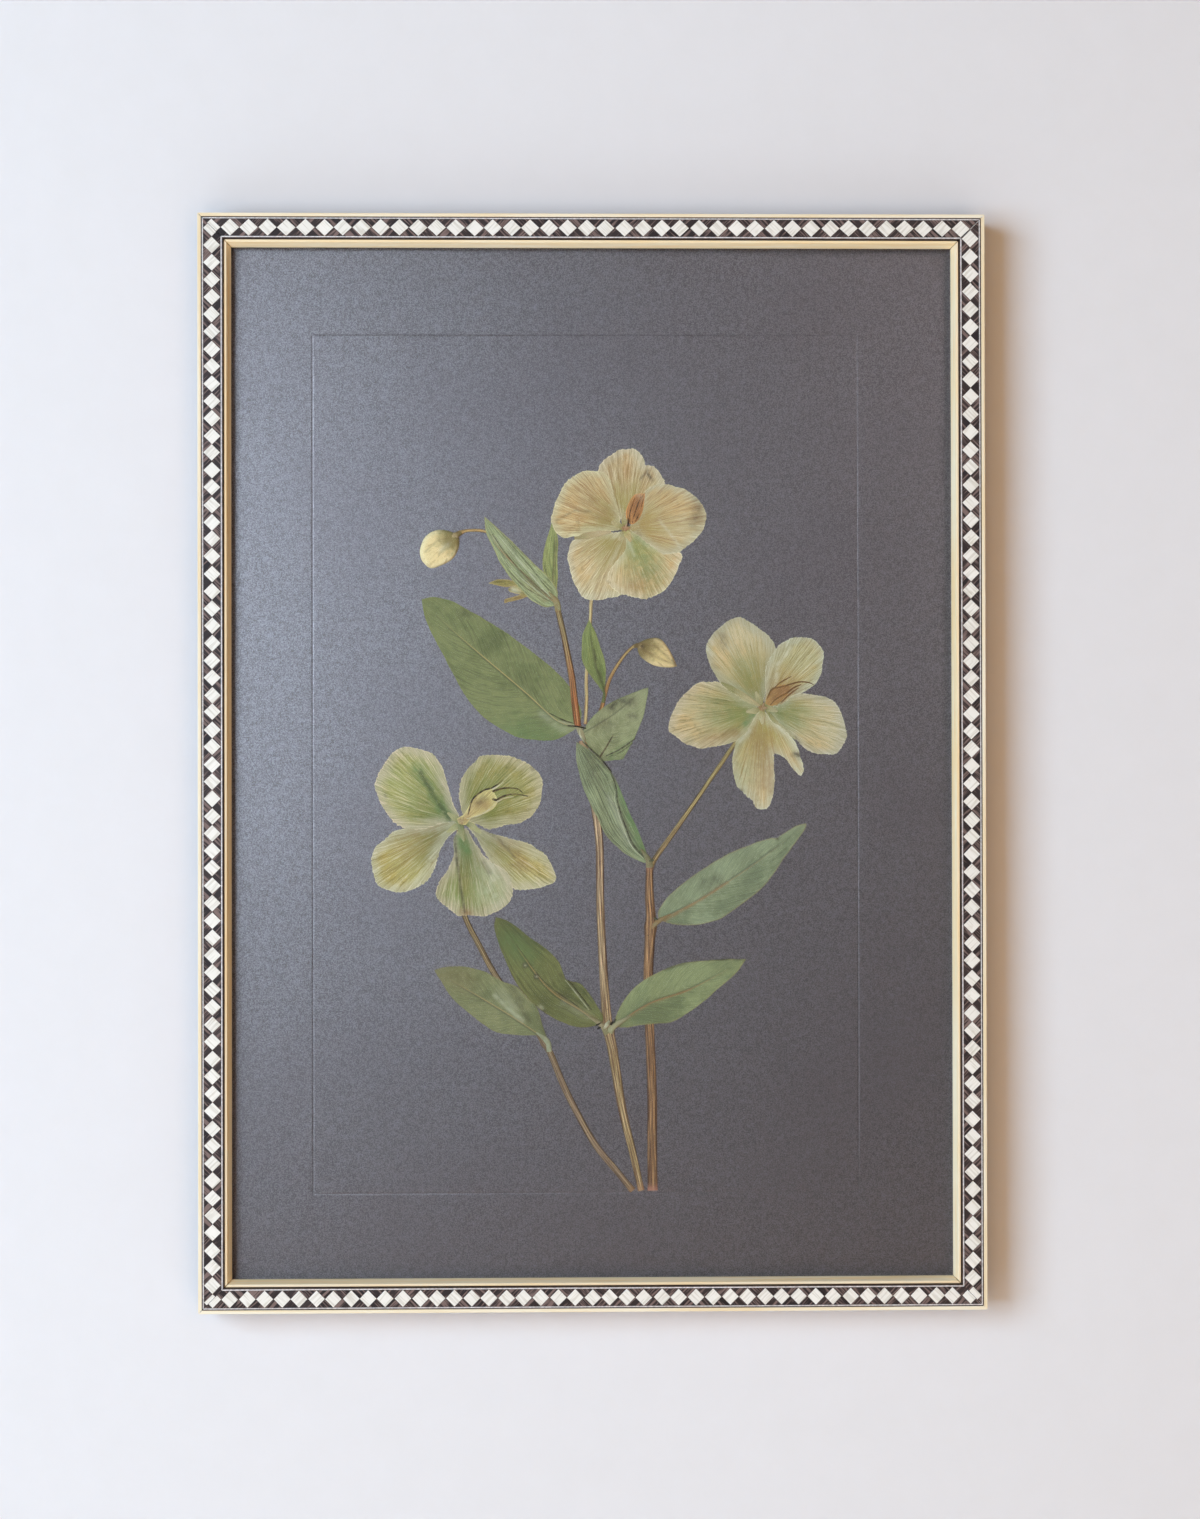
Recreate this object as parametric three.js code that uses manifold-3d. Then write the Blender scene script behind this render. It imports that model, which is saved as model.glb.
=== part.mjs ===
// A pressed flowering plant under glass, in an inlaid picture frame that hangs on a wall.
// Millimetres, +Z up, the picture faces -Y and the wall is the plane y = 0.
// The origin is the middle notch of the hanger, where the nail carries the frame.
import * as THREE from 'three';
import { mergeVertices } from 'three/addons/utils/BufferGeometryUtils.js';
import Module from 'manifold-3d';

// Frame: the sheet's format sets the outside, together with the wall of the rabbet around it.
const SHEET_WIDTH = 297;
const SHEET_HEIGHT = 420;
const RABBET_WALL = 7.7;
const FIT = 0.3;
const OUTER_WIDTH = SHEET_WIDTH + 2 * (RABBET_WALL + FIT);
const OUTER_HEIGHT = SHEET_HEIGHT + 2 * (RABBET_WALL + FIT);
const DEPTH = 22;
const FACE_WIDTH = 13;
const MITRE_GAP = 0.15;

// Layers of the frame, as distances behind its front face.
const LAYER_GAP = 0.05;
const BAND_WIDTH = 10.1;
const BAND_THICKNESS = 1.2;
const LIP_BACK = 4.5;
const SLIP_FRONT = 1;
const SLIP_SLOPE = 1.6;
const TONGUE_THICKNESS = 1.2;
const GLASS_THICKNESS = 2;
const SPACER_THICKNESS = 4;
const SPACER_WIDTH = 4;
const SHEET_THICKNESS = 0.8;
const BOARD_THICKNESS = 3;
const SLIP_BACK = LIP_BACK + LAYER_GAP + TONGUE_THICKNESS;
const GLASS_FRONT = SLIP_BACK + LAYER_GAP;
const SPACER_FRONT = GLASS_FRONT + GLASS_THICKNESS + LAYER_GAP;
const SHEET_FRONT = SPACER_FRONT + SPACER_THICKNESS + LAYER_GAP;
const BOARD_FRONT = SHEET_FRONT + SHEET_THICKNESS + LAYER_GAP;
const BOARD_BACK = BOARD_FRONT + BOARD_THICKNESS;

// Hanger and glazing points on the back of the board.
const HANG_HEIGHT = 175;
const HANGER = { half: 23, foot: 9, ramp: 3, rise: 3, height: 9, metal: 0.8, teeth: 5, pitch: 4, notch: 2 };
const POINT = { length: 12, width: 8, metal: 0.5, height: 110 };

// Specimen: thin blades in layers, over stems that lie on the sheet.
const BLADE_THICKNESS = 0.3;
const STEM_THICKNESS = 0.8;
const STALK_THICKNESS = 0.6;
const HEART_THICKNESS = 0.5;
const BUD_THICKNESS = 1.6;
const BUD_STEPS = 4;
const BUD_ROUNDING = 0.7;
const STEM_BEVEL = 0.2;
const OUTLINE_STEPS = 34;
const STEM_STEPS = 14;
const ON_A_LEAF = BLADE_THICKNESS + LAYER_GAP;
const TOP_LAYER = 6;

// Outlines on the sheet. Places are measured from the sheet's centre, x to the right and z up.
// Each edge is a smooth curve through its points, and edges meet at corners.
const FLOWERS = {
  top_flower: {
    centre: [13.5, 93.5],
    colour: 0xbdb184,
    petals: {
      upper: [[[-2, 3.5], [-8.5, 14], [-10.5, 23], [-5.5, 29.5], [3, 31.5], [7.5, 27.5], [8, 25],
        [11.5, 24.5], [14, 21], [15.5, 17.5], [10.5, 10], [2, 3]]],
      lower_left: [[[-2, -1.5], [-9, -1.5], [-18, -3.5], [-21.5, -5.5], [-23, -11], [-22, -17],
        [-19.5, -23.5], [-15.5, -28], [-9.5, -28], [-2, -26.5], [2.5, -20], [3.5, -11], [0.5, -2]]],
      left: [[[-2, 2], [-4, 11], [-6, 18], [-9.5, 22.5], [-18, 22], [-24.5, 17], [-29, 7], [-29, 1.5],
        [-26.5, -2.5], [-23, -4], [-14, -2], [-2.5, -1]]],
      lower_right: [[[0.5, -2], [-0.5, -9], [-4.5, -14], [-7, -18.5], [-6, -23.5], [-0.5, -26.5],
        [4.5, -28], [10, -27.5], [15.5, -24.5], [19.5, -19], [22, -13], [21.5, -9.5], [13.5, -7],
        [5.5, -3], [2.5, -1.5]]],
      right: [[[2, 1.5], [5, 6.5], [8, 14.5], [11.5, 17], [16, 17.5], [22.5, 16], [28.5, 12], [32, 6],
        [30.5, -1], [23, -8.5], [17, -10.5], [12, -8.5], [6.5, -4], [2, -1]]],
    },
    heart: [[[0, -1.5], [-1.5, 0.5], [0, 3], [1, 8], [2, 12], [5.5, 13.5], [7, 11.5], [5.5, 7], [3, 2.5],
      [2, 0], [0, -1.5]]],
    heartColour: 0x83573a,
  },
  right_flower: {
    centre: [68, 22],
    colour: 0xbab68f,
    petals: {
      upper_left: [[[-2, 1.5], [-11, 7.5], [-17, 10], [-22, 20], [-22.5, 23.5], [-20, 28.5], [-12, 35.5],
        [-7, 35], [1.5, 29.5], [5.5, 23], [3.5, 15], [1.5, 7], [0, 2.5]]],
      left: [[[-3, 1], [-10, 4.5], [-18, 10], [-23.5, 10], [-27.5, 8.5], [-32, 4.5], [-35.5, -1.5],
        [-37, -8.5], [-33.5, -12.5], [-25, -16], [-18.5, -15], [-8.5, -12], [-4.5, -6.5], [-2, -1.5]]],
      upper_right: [[[1, 2.5], [1, 8.5], [1.5, 16.5], [4.5, 22], [9.5, 26.5], [15, 28], [19.5, 27.5],
        [23.5, 23], [24.5, 17.5], [22.5, 11.5], [17, 6.5], [11, 4.5], [2.5, 0.5]]],
      right: [[[1.5, 0], [7.5, 1.5], [12, 4.5], [17, 5.5], [24.5, 4.5], [28.5, 2.5], [32, -4],
        [33.5, -11], [30.5, -17.5], [25, -19], [19, -17.5], [12, -11.5], [5.5, -5.5], [2, -2]]],
      lower: [
        [[-2, -2], [-5, -7.5], [-10, -13], [-12, -18.5], [-12, -24], [-10, -31.5], [-4.5, -36.5],
          [-2, -40], [1.5, -40], [3.5, -37], [5, -30.5], [4.5, -23], [4.5, -18]],
        [[4.5, -18], [8.5, -19.5], [12, -24.5], [15, -27.5]],
        [[15, -27.5], [16.5, -25], [15, -19.5], [12.5, -13], [8, -8.5], [4, -5.5], [1.5, -2]],
      ],
    },
    heart: [[[-2.5, -0.5], [-1, 1.5], [1.5, 2.5], [4, 5.5], [8.5, 8], [10.5, 7], [9.5, 4.5], [5.5, 1.5],
      [2, 0], [1, -2.5], [-1.5, -2.5], [-2.5, -0.5]]],
    heartColour: 0x7d5a40,
  },
  left_flower: {
    centre: [-51.5, -23],
    colour: 0xa9ad78,
    petals: {
      lower_left: [[[-2, -0.5], [-12.5, -1], [-23, -2.5], [-28, -4.5], [-34, -10.5], [-36, -15],
        [-34.5, -21.5], [-33, -25.5], [-26, -28], [-20.5, -27], [-14.5, -24.5], [-11, -19.5],
        [-9, -13.5], [-6, -7], [-1, -2.5]]],
      upper_left: [[[-1, 2], [-3.5, 7.5], [-5.5, 14], [-7.5, 20.5], [-10.5, 25.5], [-15, 28],
        [-20.5, 29.5], [-26, 28], [-30, 24], [-33.5, 18.5], [-34, 13.5], [-31.5, 6], [-27, 0],
        [-22.5, -2.5], [-16.5, -3], [-8.5, -1], [-1.5, 0.5]]],
      lower_right: [[[3, -1], [8.5, -3.5], [20, -7], [25.5, -8.5], [31, -11.5], [35.5, -17], [37, -23],
        [33.5, -25.5], [27, -27], [20.5, -27], [15, -21], [10, -14], [6.5, -8], [2.5, -2.5]]],
      lower: [[[-1, -3], [-3.5, -7.5], [-3.5, -13.5], [-5.5, -19], [-8.5, -23.5], [-10, -30], [-6, -34],
        [-1.5, -37.5], [3, -37], [8.5, -38], [14, -35.5], [18, -33], [20, -29], [19, -22.5],
        [15.5, -18.5], [8.5, -13.5], [5, -8], [2, -3]]],
      upper_right: [[[0.5, 2.5], [-1, 8], [-1, 12.5], [0.5, 18], [3.5, 22], [7.5, 25.5], [12.5, 26.5],
        [18.5, 26], [24, 24], [29.5, 20.5], [32, 15], [32, 10.5], [30, 5], [24.5, 0], [17.5, -1.5],
        [10.5, -3], [6, -1.5], [2.5, 0.5]]],
    },
    heart: [
      [[-1, -1], [-2, 1], [0.5, 2.5], [2.5, 5.5], [5, 10], [8.5, 12], [12, 13]],
      [[12, 13], [13.5, 10], [14.5, 8]],
      [[14.5, 8], [12.5, 5], [9, 3], [5, 2], [3, 0.5], [1.5, -1.5], [-1, -1]],
    ],
    heartColour: 0xc9b77d,
  },
};

// Leaves, from the point where each grows, in the layer that it lies in.
const LEAVES = {
  big_leaf: { base: [-5, 14.5], layer: 0, colour: 0x6f7c4e, edges: [
    [[0, 0], [1, 5], [-1, 11], [-5, 17.5], [-10.5, 23], [-16.5, 28], [-30, 38], [-46, 47.5], [-52.5, 50.5],
      [-58.5, 51.5], [-62.5, 50.5]],
    [[-62.5, 50.5], [-61, 43], [-55.5, 31.5], [-46, 14], [-38, 4], [-26, -3.5], [-19, -5], [-11.5, -5.5],
      [-6.5, -4], [0, 0]],
  ] },
  narrow_bract: { base: [-14, 65.5], layer: 0, colour: 0x76854d, edges: [
    [[0, 0], [-4.5, 9], [-5.5, 15], [-4, 23], [-1.5, 31]],
    [[-1.5, 31], [0.5, 24.5], [0.5, 15], [0.5, 7.5], [0, 0]],
  ] },
  right_leaf: { base: [27, -62.5], layer: 0, colour: 0x788863, edges: [
    [[0, 0], [-0.5, 3.5], [4, 10], [16.5, 20], [31, 28], [44, 32.5], [46.5, 32.5], [53.5, 37], [58.5, 38.5]],
    [[58.5, 38.5], [57.5, 35.5], [49.5, 24.5], [41.5, 13.5], [28, 3], [21, -0.5], [12.5, -2], [5, -1.5],
      [0, 0]],
  ] },
  side_shoot: { base: [-23.5, 67], layer: 0, colour: 0x8d8a55, edges: [
    [[0, 0], [-4, 3.5], [-8, 5.5], [-13.5, 6], [-17.5, 4.5]],
    [[-17.5, 4.5], [-11, 3], [-6.5, 3.5]],
    [[-6.5, 3.5], [-9.5, 2.5], [-9, 1], [-5, 0]],
    [[-5, 0], [-8, -1], [-11, -2], [-11, -3.5]],
    [[-11, -3.5], [-7.5, -2.5], [-4, -1.5], [0, 0]],
  ] },
  broad_bract: { base: [-14, 63], layer: 1, colour: 0x73875f, edges: [
    [[0, 0], [0.5, 5.5], [-2.5, 10.5], [-8.5, 16], [-15, 22.5], [-24.5, 31.5], [-28.5, 35]],
    [[-28.5, 35], [-28, 29], [-25, 22.5], [-21, 14.5], [-15.5, 7.5], [-10, 2], [-4.5, -1], [0, 0]],
  ] },
  small_leaf: { base: [5, 27.5], layer: 1, colour: 0x6d8449, edges: [
    [[0, 0], [-2.5, 3.5], [-6, 8], [-8.5, 12.5], [-9, 18], [-8.5, 24], [-6, 29.5]],
    [[-6, 29.5], [-3.5, 24.5], [-1.5, 18.5], [0.5, 11.5], [0.5, 5.5], [0, 0]],
  ] },
  hanging_leaf: { base: [23, -39], layer: 1, colour: 0x7a8a6a, edges: [
    [[0, 0], [-2.5, -0.5], [-9.5, 3], [-16.5, 9.5], [-21.5, 18.5], [-26, 28.5], [-29, 39.5], [-29, 47.5]],
    [[-29, 47.5], [-23.5, 44], [-18.5, 39], [-13.5, 32.5], [-8, 19.5], [-4, 11], [0, 0]],
  ] },
  left_stem_leaf: { base: [-17.5, -110], layer: 1, colour: 0x707a58, edges: [
    [[0, 0], [-2, 6], [-4, 12.5], [-8, 17], [-12.5, 21.5], [-18, 23.5], [-24, 27], [-31, 29], [-39, 29.5],
      [-45, 28]],
    [[-45, 28], [-42.5, 24], [-37.5, 16.5], [-30.5, 10.5], [-23, 4.5], [-17, 2.5], [-8.5, 2], [-3, 2],
      [0, 0]],
  ] },
  lower_right_leaf: { base: [8.5, -104.5], layer: 1, colour: 0x748257, edges: [
    [[0, 0], [2, 6], [6, 12.5], [12, 18], [19.5, 22], [27.5, 25], [37, 26], [45.5, 26.5], [53, 26.5]],
    [[53, 26.5], [48.5, 20.5], [41.5, 14.5], [34, 8], [24, 2], [18.5, 1], [11.5, 0.5], [5, -0.5], [0, 0]],
  ] },
  dark_leaf: { base: [3.5, -103.5], layer: 2, colour: 0x56683c, edges: [
    [[0, 0], [1, 3], [-3.5, 10.5], [-8, 16], [-13.5, 17.5], [-16, 23.5], [-19.5, 28], [-27.5, 34],
      [-36, 40.5], [-41.5, 42.5]],
    [[-41.5, 42.5], [-42, 37.5], [-38.5, 27], [-33.5, 16.5], [-27.5, 9], [-20, 3], [-12, -0.5], [-6, -1.5],
      [0, 0]],
  ] },
  pale_leaf: { base: [-4, 11], layer: 2, colour: 0x8b9370, edges: [
    [[0, 0], [1.5, 3.5], [5, 8], [11.5, 13], [21.5, 17.5], [26.5, 19]],
    [[26.5, 19], [26, 14.5], [24.5, 7.5], [21, -1], [16.5, -9.5]],
    [[16.5, -9.5], [11.5, -10], [7.5, -10]],
    [[7.5, -10], [3.5, -5], [0, 0]],
  ] },
};

const BUDS = {
  left_bud: { base: [-53.5, 91], colour: 0xd8cd97, edges: [
    [[0, 0], [-4, 1.5], [-8.5, 1.5], [-12.5, -1], [-14.5, -5.5], [-14.5, -8.5], [-13.5, -11], [-10.5, -13.5],
      [-6.5, -12.5], [-2, -10], [0.5, -6], [1, -2.5], [0, 0]],
  ] },
  right_bud: { base: [18, 47.5], colour: 0xc4b583, edges: [
    [[0, 0], [4.5, 2], [9, 2], [12, -1], [14.5, -5.5], [16, -9]],
    [[16, -9], [13, -9.5], [8, -9], [4.5, -7.5], [1, -4.5], [0, 0]],
  ] },
};

// Stems run upwards along a centre line, and their widths are spread evenly over their length.
const STEMS = {
  left_stem: { widths: [2.4, 2.2, 1.9, 1.7, 1.7], thickness: STEM_THICKNESS, colour: 0x8d7550, line: [
    [16, -169.5], [10, -162], [0.5, -150], [-10, -130.5], [-17.5, -113], [-26.5, -100], [-37, -86],
    [-44.5, -72.5], [-50.5, -60], [-52.5, -46.5], [-53.5, -34.5], [-52.5, -26]] },
  middle_stem: { thickness: STEM_THICKNESS, colour: 0x96815a, widths: [2.4, 3, 3.9, 3.2, 3.2, 3.2, 3.2],
    line: [
    [19.5, -169.5], [16.5, -155.5], [12, -136.5], [8.5, -115], [6.5, -104.5], [5, -88], [3.5, -58.5],
    [3, -30.5], [0, -10.5], [-3.5, 9]] },
  upper_stem: { widths: [2.9, 2.2], thickness: STEM_THICKNESS, lift: ON_A_LEAF, colour: 0x8d6744, line: [
    [-5.5, 14.5], [-7, 26.5], [-8, 35], [-11, 50.5], [-13.5, 61.5]] },
  right_stem: { widths: [4, 3.9, 3.8, 3.8, 4.2, 2.8], thickness: STEM_THICKNESS, colour: 0x82603c, line: [
    [24, -169.5], [24, -150.5], [24, -131.5], [23, -104.5], [22.5, -86], [23, -72.5], [23.5, -62],
    [23, -52.5], [23, -39.5]] },
  top_flower_stalk: { widths: [1.4], thickness: STALK_THICKNESS, colour: 0xa08c62, line: [
    [-2.5, 15.5], [-2, 25], [-2, 35.5], [-0.5, 57], [0, 65], [2.5, 73], [8, 84], [12, 90]] },
  right_flower_stalk: { widths: [2.1, 1.8, 1.6], thickness: STALK_THICKNESS, colour: 0x8f7444, line: [
    [25.5, -37.5], [35.5, -23.5], [57.5, 8.5], [63.5, 17.5], [66, 20.5]] },
  left_bud_stalk: { widths: [1.2], thickness: STALK_THICKNESS, colour: 0x9a7448, line: [
    [-17, 68], [-28.5, 80], [-36.5, 88.5], [-42, 92], [-48.5, 92.5], [-52, 91.5]] },
  right_bud_stalk: { widths: [1.7, 1.4, 1.1], thickness: STALK_THICKNESS, colour: 0x93724a, line: [
    [-0.5, 14.5], [3.5, 20.5], [5.5, 28], [7.5, 34], [11, 40], [14.5, 44.5], [17, 46.5]] },
};

const wasm = await Module();
wasm.setup();

const frame = new THREE.Group();
frame.position.z = -HANG_HEIGHT;

function addPart(name, geometry, colour, roughness, metalness = 0) {
  const material = new THREE.MeshStandardMaterial({ color: colour, roughness, metalness });
  const mesh = new THREE.Mesh(geometry, material);
  mesh.name = name;
  frame.add(mesh);
  return mesh;
}

// The y of a plane at a distance behind the frame's front face.
const behindFace = (distance) => distance - DEPTH;

// A shape drawn in x and z, given a thickness towards the front.
function standUp(shape, settings) {
  const geometry = new THREE.ExtrudeGeometry(shape, { bevelEnabled: false, steps: 1, ...settings });
  return geometry.rotateX(Math.PI / 2);
}

function asManifold(geometry) {
  const bare = geometry.clone();
  bare.deleteAttribute('normal');
  bare.deleteAttribute('uv');
  const merged = mergeVertices(bare);
  const vertProperties = new Float32Array(merged.attributes.position.array);
  return new wasm.Manifold(new wasm.Mesh({
    numProp: 3,
    vertProperties,
    triVerts: new Uint32Array(merged.index.array),
  }));
}

function asGeometry(manifold) {
  const { vertProperties, triVerts } = manifold.getMesh();
  const geometry = new THREE.BufferGeometry();
  geometry.setAttribute('position', new THREE.BufferAttribute(vertProperties, 3));
  geometry.setIndex(new THREE.BufferAttribute(triVerts, 1));
  return geometry;
}

// A mitred length of moulding along the bottom of the frame. The section is drawn as distance in from
// the outer edge and distance behind the face, and each end is cut back by the distance in.
function moulding(section, halfLength, halfAcross) {
  const shape = new THREE.Shape(section.map(([inward, behind]) => new THREE.Vector2(inward, behind)));
  const geometry = new THREE.ExtrudeGeometry(shape, { depth: 1, steps: 1, bevelEnabled: false });
  const position = geometry.attributes.position;
  for (let i = 0; i < position.count; i += 1) {
    const inward = position.getX(i);
    const behind = position.getY(i);
    const end = position.getZ(i) > 0.5 ? -1 : 1;
    position.setXYZ(i, end * (halfLength - inward - MITRE_GAP), behindFace(behind), inward - halfAcross);
  }
  geometry.computeVertexNormals();
  return geometry;
}

const SIDES = [
  { side: 'bottom', turn: 0, halfLength: OUTER_WIDTH / 2, halfAcross: OUTER_HEIGHT / 2 },
  { side: 'left', turn: Math.PI / 2, halfLength: OUTER_HEIGHT / 2, halfAcross: OUTER_WIDTH / 2 },
  { side: 'top', turn: Math.PI, halfLength: OUTER_WIDTH / 2, halfAcross: OUTER_HEIGHT / 2 },
  { side: 'right', turn: -Math.PI / 2, halfLength: OUTER_HEIGHT / 2, halfAcross: OUTER_WIDTH / 2 },
];

function addMouldings(kind, section, colour, roughness) {
  for (const { side, turn, halfLength, halfAcross } of SIDES) {
    const mesh = addPart(`${side}_${kind}`, moulding(section, halfLength, halfAcross), colour, roughness);
    mesh.rotation.y = turn;
  }
}

// Rail: a wall that reaches back to the wall plane, with a lip in front of the glass.
const RAIL_FRONT = BAND_THICKNESS + LAYER_GAP;
addMouldings('rail', [
  [0, RAIL_FRONT], [BAND_WIDTH, RAIL_FRONT], [BAND_WIDTH, LIP_BACK],
  [RABBET_WALL, LIP_BACK], [RABBET_WALL, DEPTH], [0, DEPTH],
], 0x4a2c20, 0.45);

// Inlay band: a veneer strip on the rail's face.
addMouldings('inlay_band', [
  [0, 0], [BAND_WIDTH, 0], [BAND_WIDTH, BAND_THICKNESS], [0, BAND_THICKNESS],
], 0xb0a89c, 0.4);

// Slip: its inner face slopes to the glass, and its tongue lies behind the rail's lip.
const SLIP_OUTER = BAND_WIDTH + FIT;
const TONGUE_OUTER = RABBET_WALL + FIT;
addMouldings('slip', [
  [SLIP_OUTER, SLIP_FRONT], [FACE_WIDTH - SLIP_SLOPE, SLIP_FRONT], [FACE_WIDTH, SLIP_FRONT + 2 * SLIP_SLOPE],
  [FACE_WIDTH, SLIP_BACK], [TONGUE_OUTER, SLIP_BACK], [TONGUE_OUTER, LIP_BACK + LAYER_GAP],
  [SLIP_OUTER, LIP_BACK + LAYER_GAP],
], 0xe6d3b5, 0.5);

// Flat layers in the rabbet.
function addLayer(name, front, thickness, colour, roughness) {
  const mesh = addPart(name, new THREE.BoxGeometry(SHEET_WIDTH, thickness, SHEET_HEIGHT), colour, roughness);
  mesh.position.y = behindFace(front + thickness / 2);
}
addLayer('glass', GLASS_FRONT, GLASS_THICKNESS, 0xeef3f2, 0.02);
addLayer('mount_sheet', SHEET_FRONT, SHEET_THICKNESS, 0x6d6b70, 0.95);
addLayer('backing_board', BOARD_FRONT, BOARD_THICKNESS, 0x7a5a3c, 0.8);

function rectangle(Kind, width, height) {
  const half = [width / 2, height / 2];
  return new Kind([[-1, -1], [1, -1], [1, 1], [-1, 1]].map(
    ([x, z]) => new THREE.Vector2(x * half[0], z * half[1]),
  ));
}
const spacerShape = rectangle(THREE.Shape, SHEET_WIDTH, SHEET_HEIGHT);
const spacerHole = rectangle(THREE.Path, SHEET_WIDTH - 2 * SPACER_WIDTH, SHEET_HEIGHT - 2 * SPACER_WIDTH);
spacerShape.holes.push(spacerHole);
const spacer = addPart('spacer', standUp(spacerShape, { depth: SPACER_THICKNESS }), 0xded8cb, 0.9);
spacer.position.y = behindFace(SPACER_FRONT + SPACER_THICKNESS);

// Glazing points: flat steel tabs from the side rails over the back of the board.
for (const [side, across] of [['left', -1], ['right', 1]]) {
  for (const [end, up] of [['lower', -1], ['upper', 1]]) {
    const tab = new THREE.BoxGeometry(POINT.length, POINT.metal, POINT.width);
    const point = addPart(`${end}_${side}_point`, tab, 0xa7a7a5, 0.35, 1);
    point.position.set(
      across * (SHEET_WIDTH - POINT.length) / 2,
      behindFace(BOARD_BACK + LAYER_GAP + POINT.metal / 2),
      up * POINT.height,
    );
  }
}

// Hanger: a steel strip bent up in the middle, with notches along its lower edge.
function hangerGeometry() {
  const { half, foot, ramp, rise, height, metal, teeth, pitch, notch } = HANGER;
  const bend = [[-half, 0], [foot - half, 0], [foot + ramp - half, rise],
    [half - foot - ramp, rise], [half - foot, 0], [half, 0]];
  const section = [
    ...bend.map(([x, away]) => new THREE.Vector2(x, away)),
    ...bend.toReversed().map(([x, away]) => new THREE.Vector2(x, away + metal)),
  ];
  const strip = new THREE.ExtrudeGeometry(new THREE.Shape(section), { depth: height, bevelEnabled: false });
  strip.translate(0, 0, -notch);
  let hanger = asManifold(strip);
  for (let i = 0; i < teeth; i += 1) {
    const x = (i - (teeth - 1) / 2) * pitch;
    const cut = new THREE.Shape([
      new THREE.Vector2(x - pitch / 2, -2 * notch),
      new THREE.Vector2(x + pitch / 2, -2 * notch),
      new THREE.Vector2(x + pitch / 4, -notch / 2),
      new THREE.Vector2(x, 0),
      new THREE.Vector2(x - pitch / 4, -notch / 2),
    ]);
    const tooth = standUp(cut, { depth: 4 * rise }).translate(0, 3 * rise, 0);
    hanger = hanger.subtract(asManifold(tooth));
  }
  return asGeometry(hanger);
}
const hanger = addPart('hanger', hangerGeometry(), 0xb4a26a, 0.35, 1);
hanger.position.set(0, behindFace(BOARD_BACK + LAYER_GAP), HANG_HEIGHT);

// How far a layer of blades lies above the sheet: the lowest on the paper, the others over the stems.
function liftOf(layer) {
  if (layer === 0) {
    return LAYER_GAP;
  }
  return STEM_THICKNESS + 2 * LAYER_GAP + (layer - 1) * (BLADE_THICKNESS + LAYER_GAP);
}

function outlineOf(edges) {
  const spans = edges.reduce((sum, edge) => sum + edge.length - 1, 0);
  const perSpan = Math.max(2, Math.round(OUTLINE_STEPS / spans));
  const outline = [];
  for (const edge of edges) {
    const curve = new THREE.SplineCurve(edge.map(([x, z]) => new THREE.Vector2(x, z)));
    outline.push(...curve.getPoints((edge.length - 1) * perSpan));
  }
  return outline.filter((point, i) => point.distanceTo(outline[(i + 1) % outline.length]) > 0.01);
}

function addPressed(name, shape, place, lift, settings, colour) {
  const mesh = addPart(name, standUp(shape, settings), colour, 0.8);
  mesh.position.set(place[0], behindFace(SHEET_FRONT - lift), place[1]);
}

function addBlade(name, edges, place, layer, thickness, colour) {
  addPressed(name, new THREE.Shape(outlineOf(edges)), place, liftOf(layer), { depth: thickness }, colour);
}

// A flat stem: two sides set off from its centre line, with its arrises rounded.
function addStem(name, { line, widths, thickness, lift = LAYER_GAP, colour }) {
  const curve = new THREE.SplineCurve(line.map(([x, z]) => new THREE.Vector2(x, z)));
  const right = [];
  const left = [];
  for (let i = 0; i <= STEM_STEPS; i += 1) {
    const along = i / STEM_STEPS;
    const spot = along * (widths.length - 1);
    const low = Math.floor(spot);
    const high = Math.min(low + 1, widths.length - 1);
    const half = THREE.MathUtils.lerp(widths[low], widths[high], spot - low) / 2;
    const point = curve.getPointAt(along);
    const tangent = curve.getTangentAt(along);
    const across = new THREE.Vector2(tangent.y, -tangent.x).multiplyScalar(half);
    right.push(point.clone().add(across));
    left.unshift(point.clone().sub(across));
  }
  const settings = {
    depth: thickness - 2 * STEM_BEVEL,
    bevelEnabled: true,
    bevelThickness: STEM_BEVEL,
    bevelSize: STEM_BEVEL,
    bevelOffset: -STEM_BEVEL,
    bevelSegments: 1,
  };
  addPressed(name, new THREE.Shape([...right, ...left]), [0, 0], lift + STEM_BEVEL, settings, colour);
}

// A closed bud: pressed flat, and rounded to its edge by drawing its outline in towards both faces.
function addBud(name, { base, edges, colour }) {
  const outline = outlineOf(edges);
  const centre = new THREE.Vector2();
  outline.forEach((point) => centre.addScaledVector(point, 1 / outline.length));
  const settings = { depth: BUD_THICKNESS, steps: BUD_STEPS, bevelEnabled: false };
  const geometry = new THREE.ExtrudeGeometry(new THREE.Shape(outline), settings);
  const position = geometry.attributes.position;
  for (let i = 0; i < position.count; i += 1) {
    const offMiddle = 2 * position.getZ(i) / BUD_THICKNESS - 1;
    const size = Math.sqrt(1 - BUD_ROUNDING * offMiddle ** 2);
    const x = THREE.MathUtils.lerp(centre.x, position.getX(i), size);
    const z = THREE.MathUtils.lerp(centre.y, position.getY(i), size);
    position.setXY(i, x, z);
  }
  const mesh = addPart(name, geometry.rotateX(Math.PI / 2), colour, 0.8);
  mesh.position.set(base[0], behindFace(SHEET_FRONT - LAYER_GAP), base[1]);
}

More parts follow.
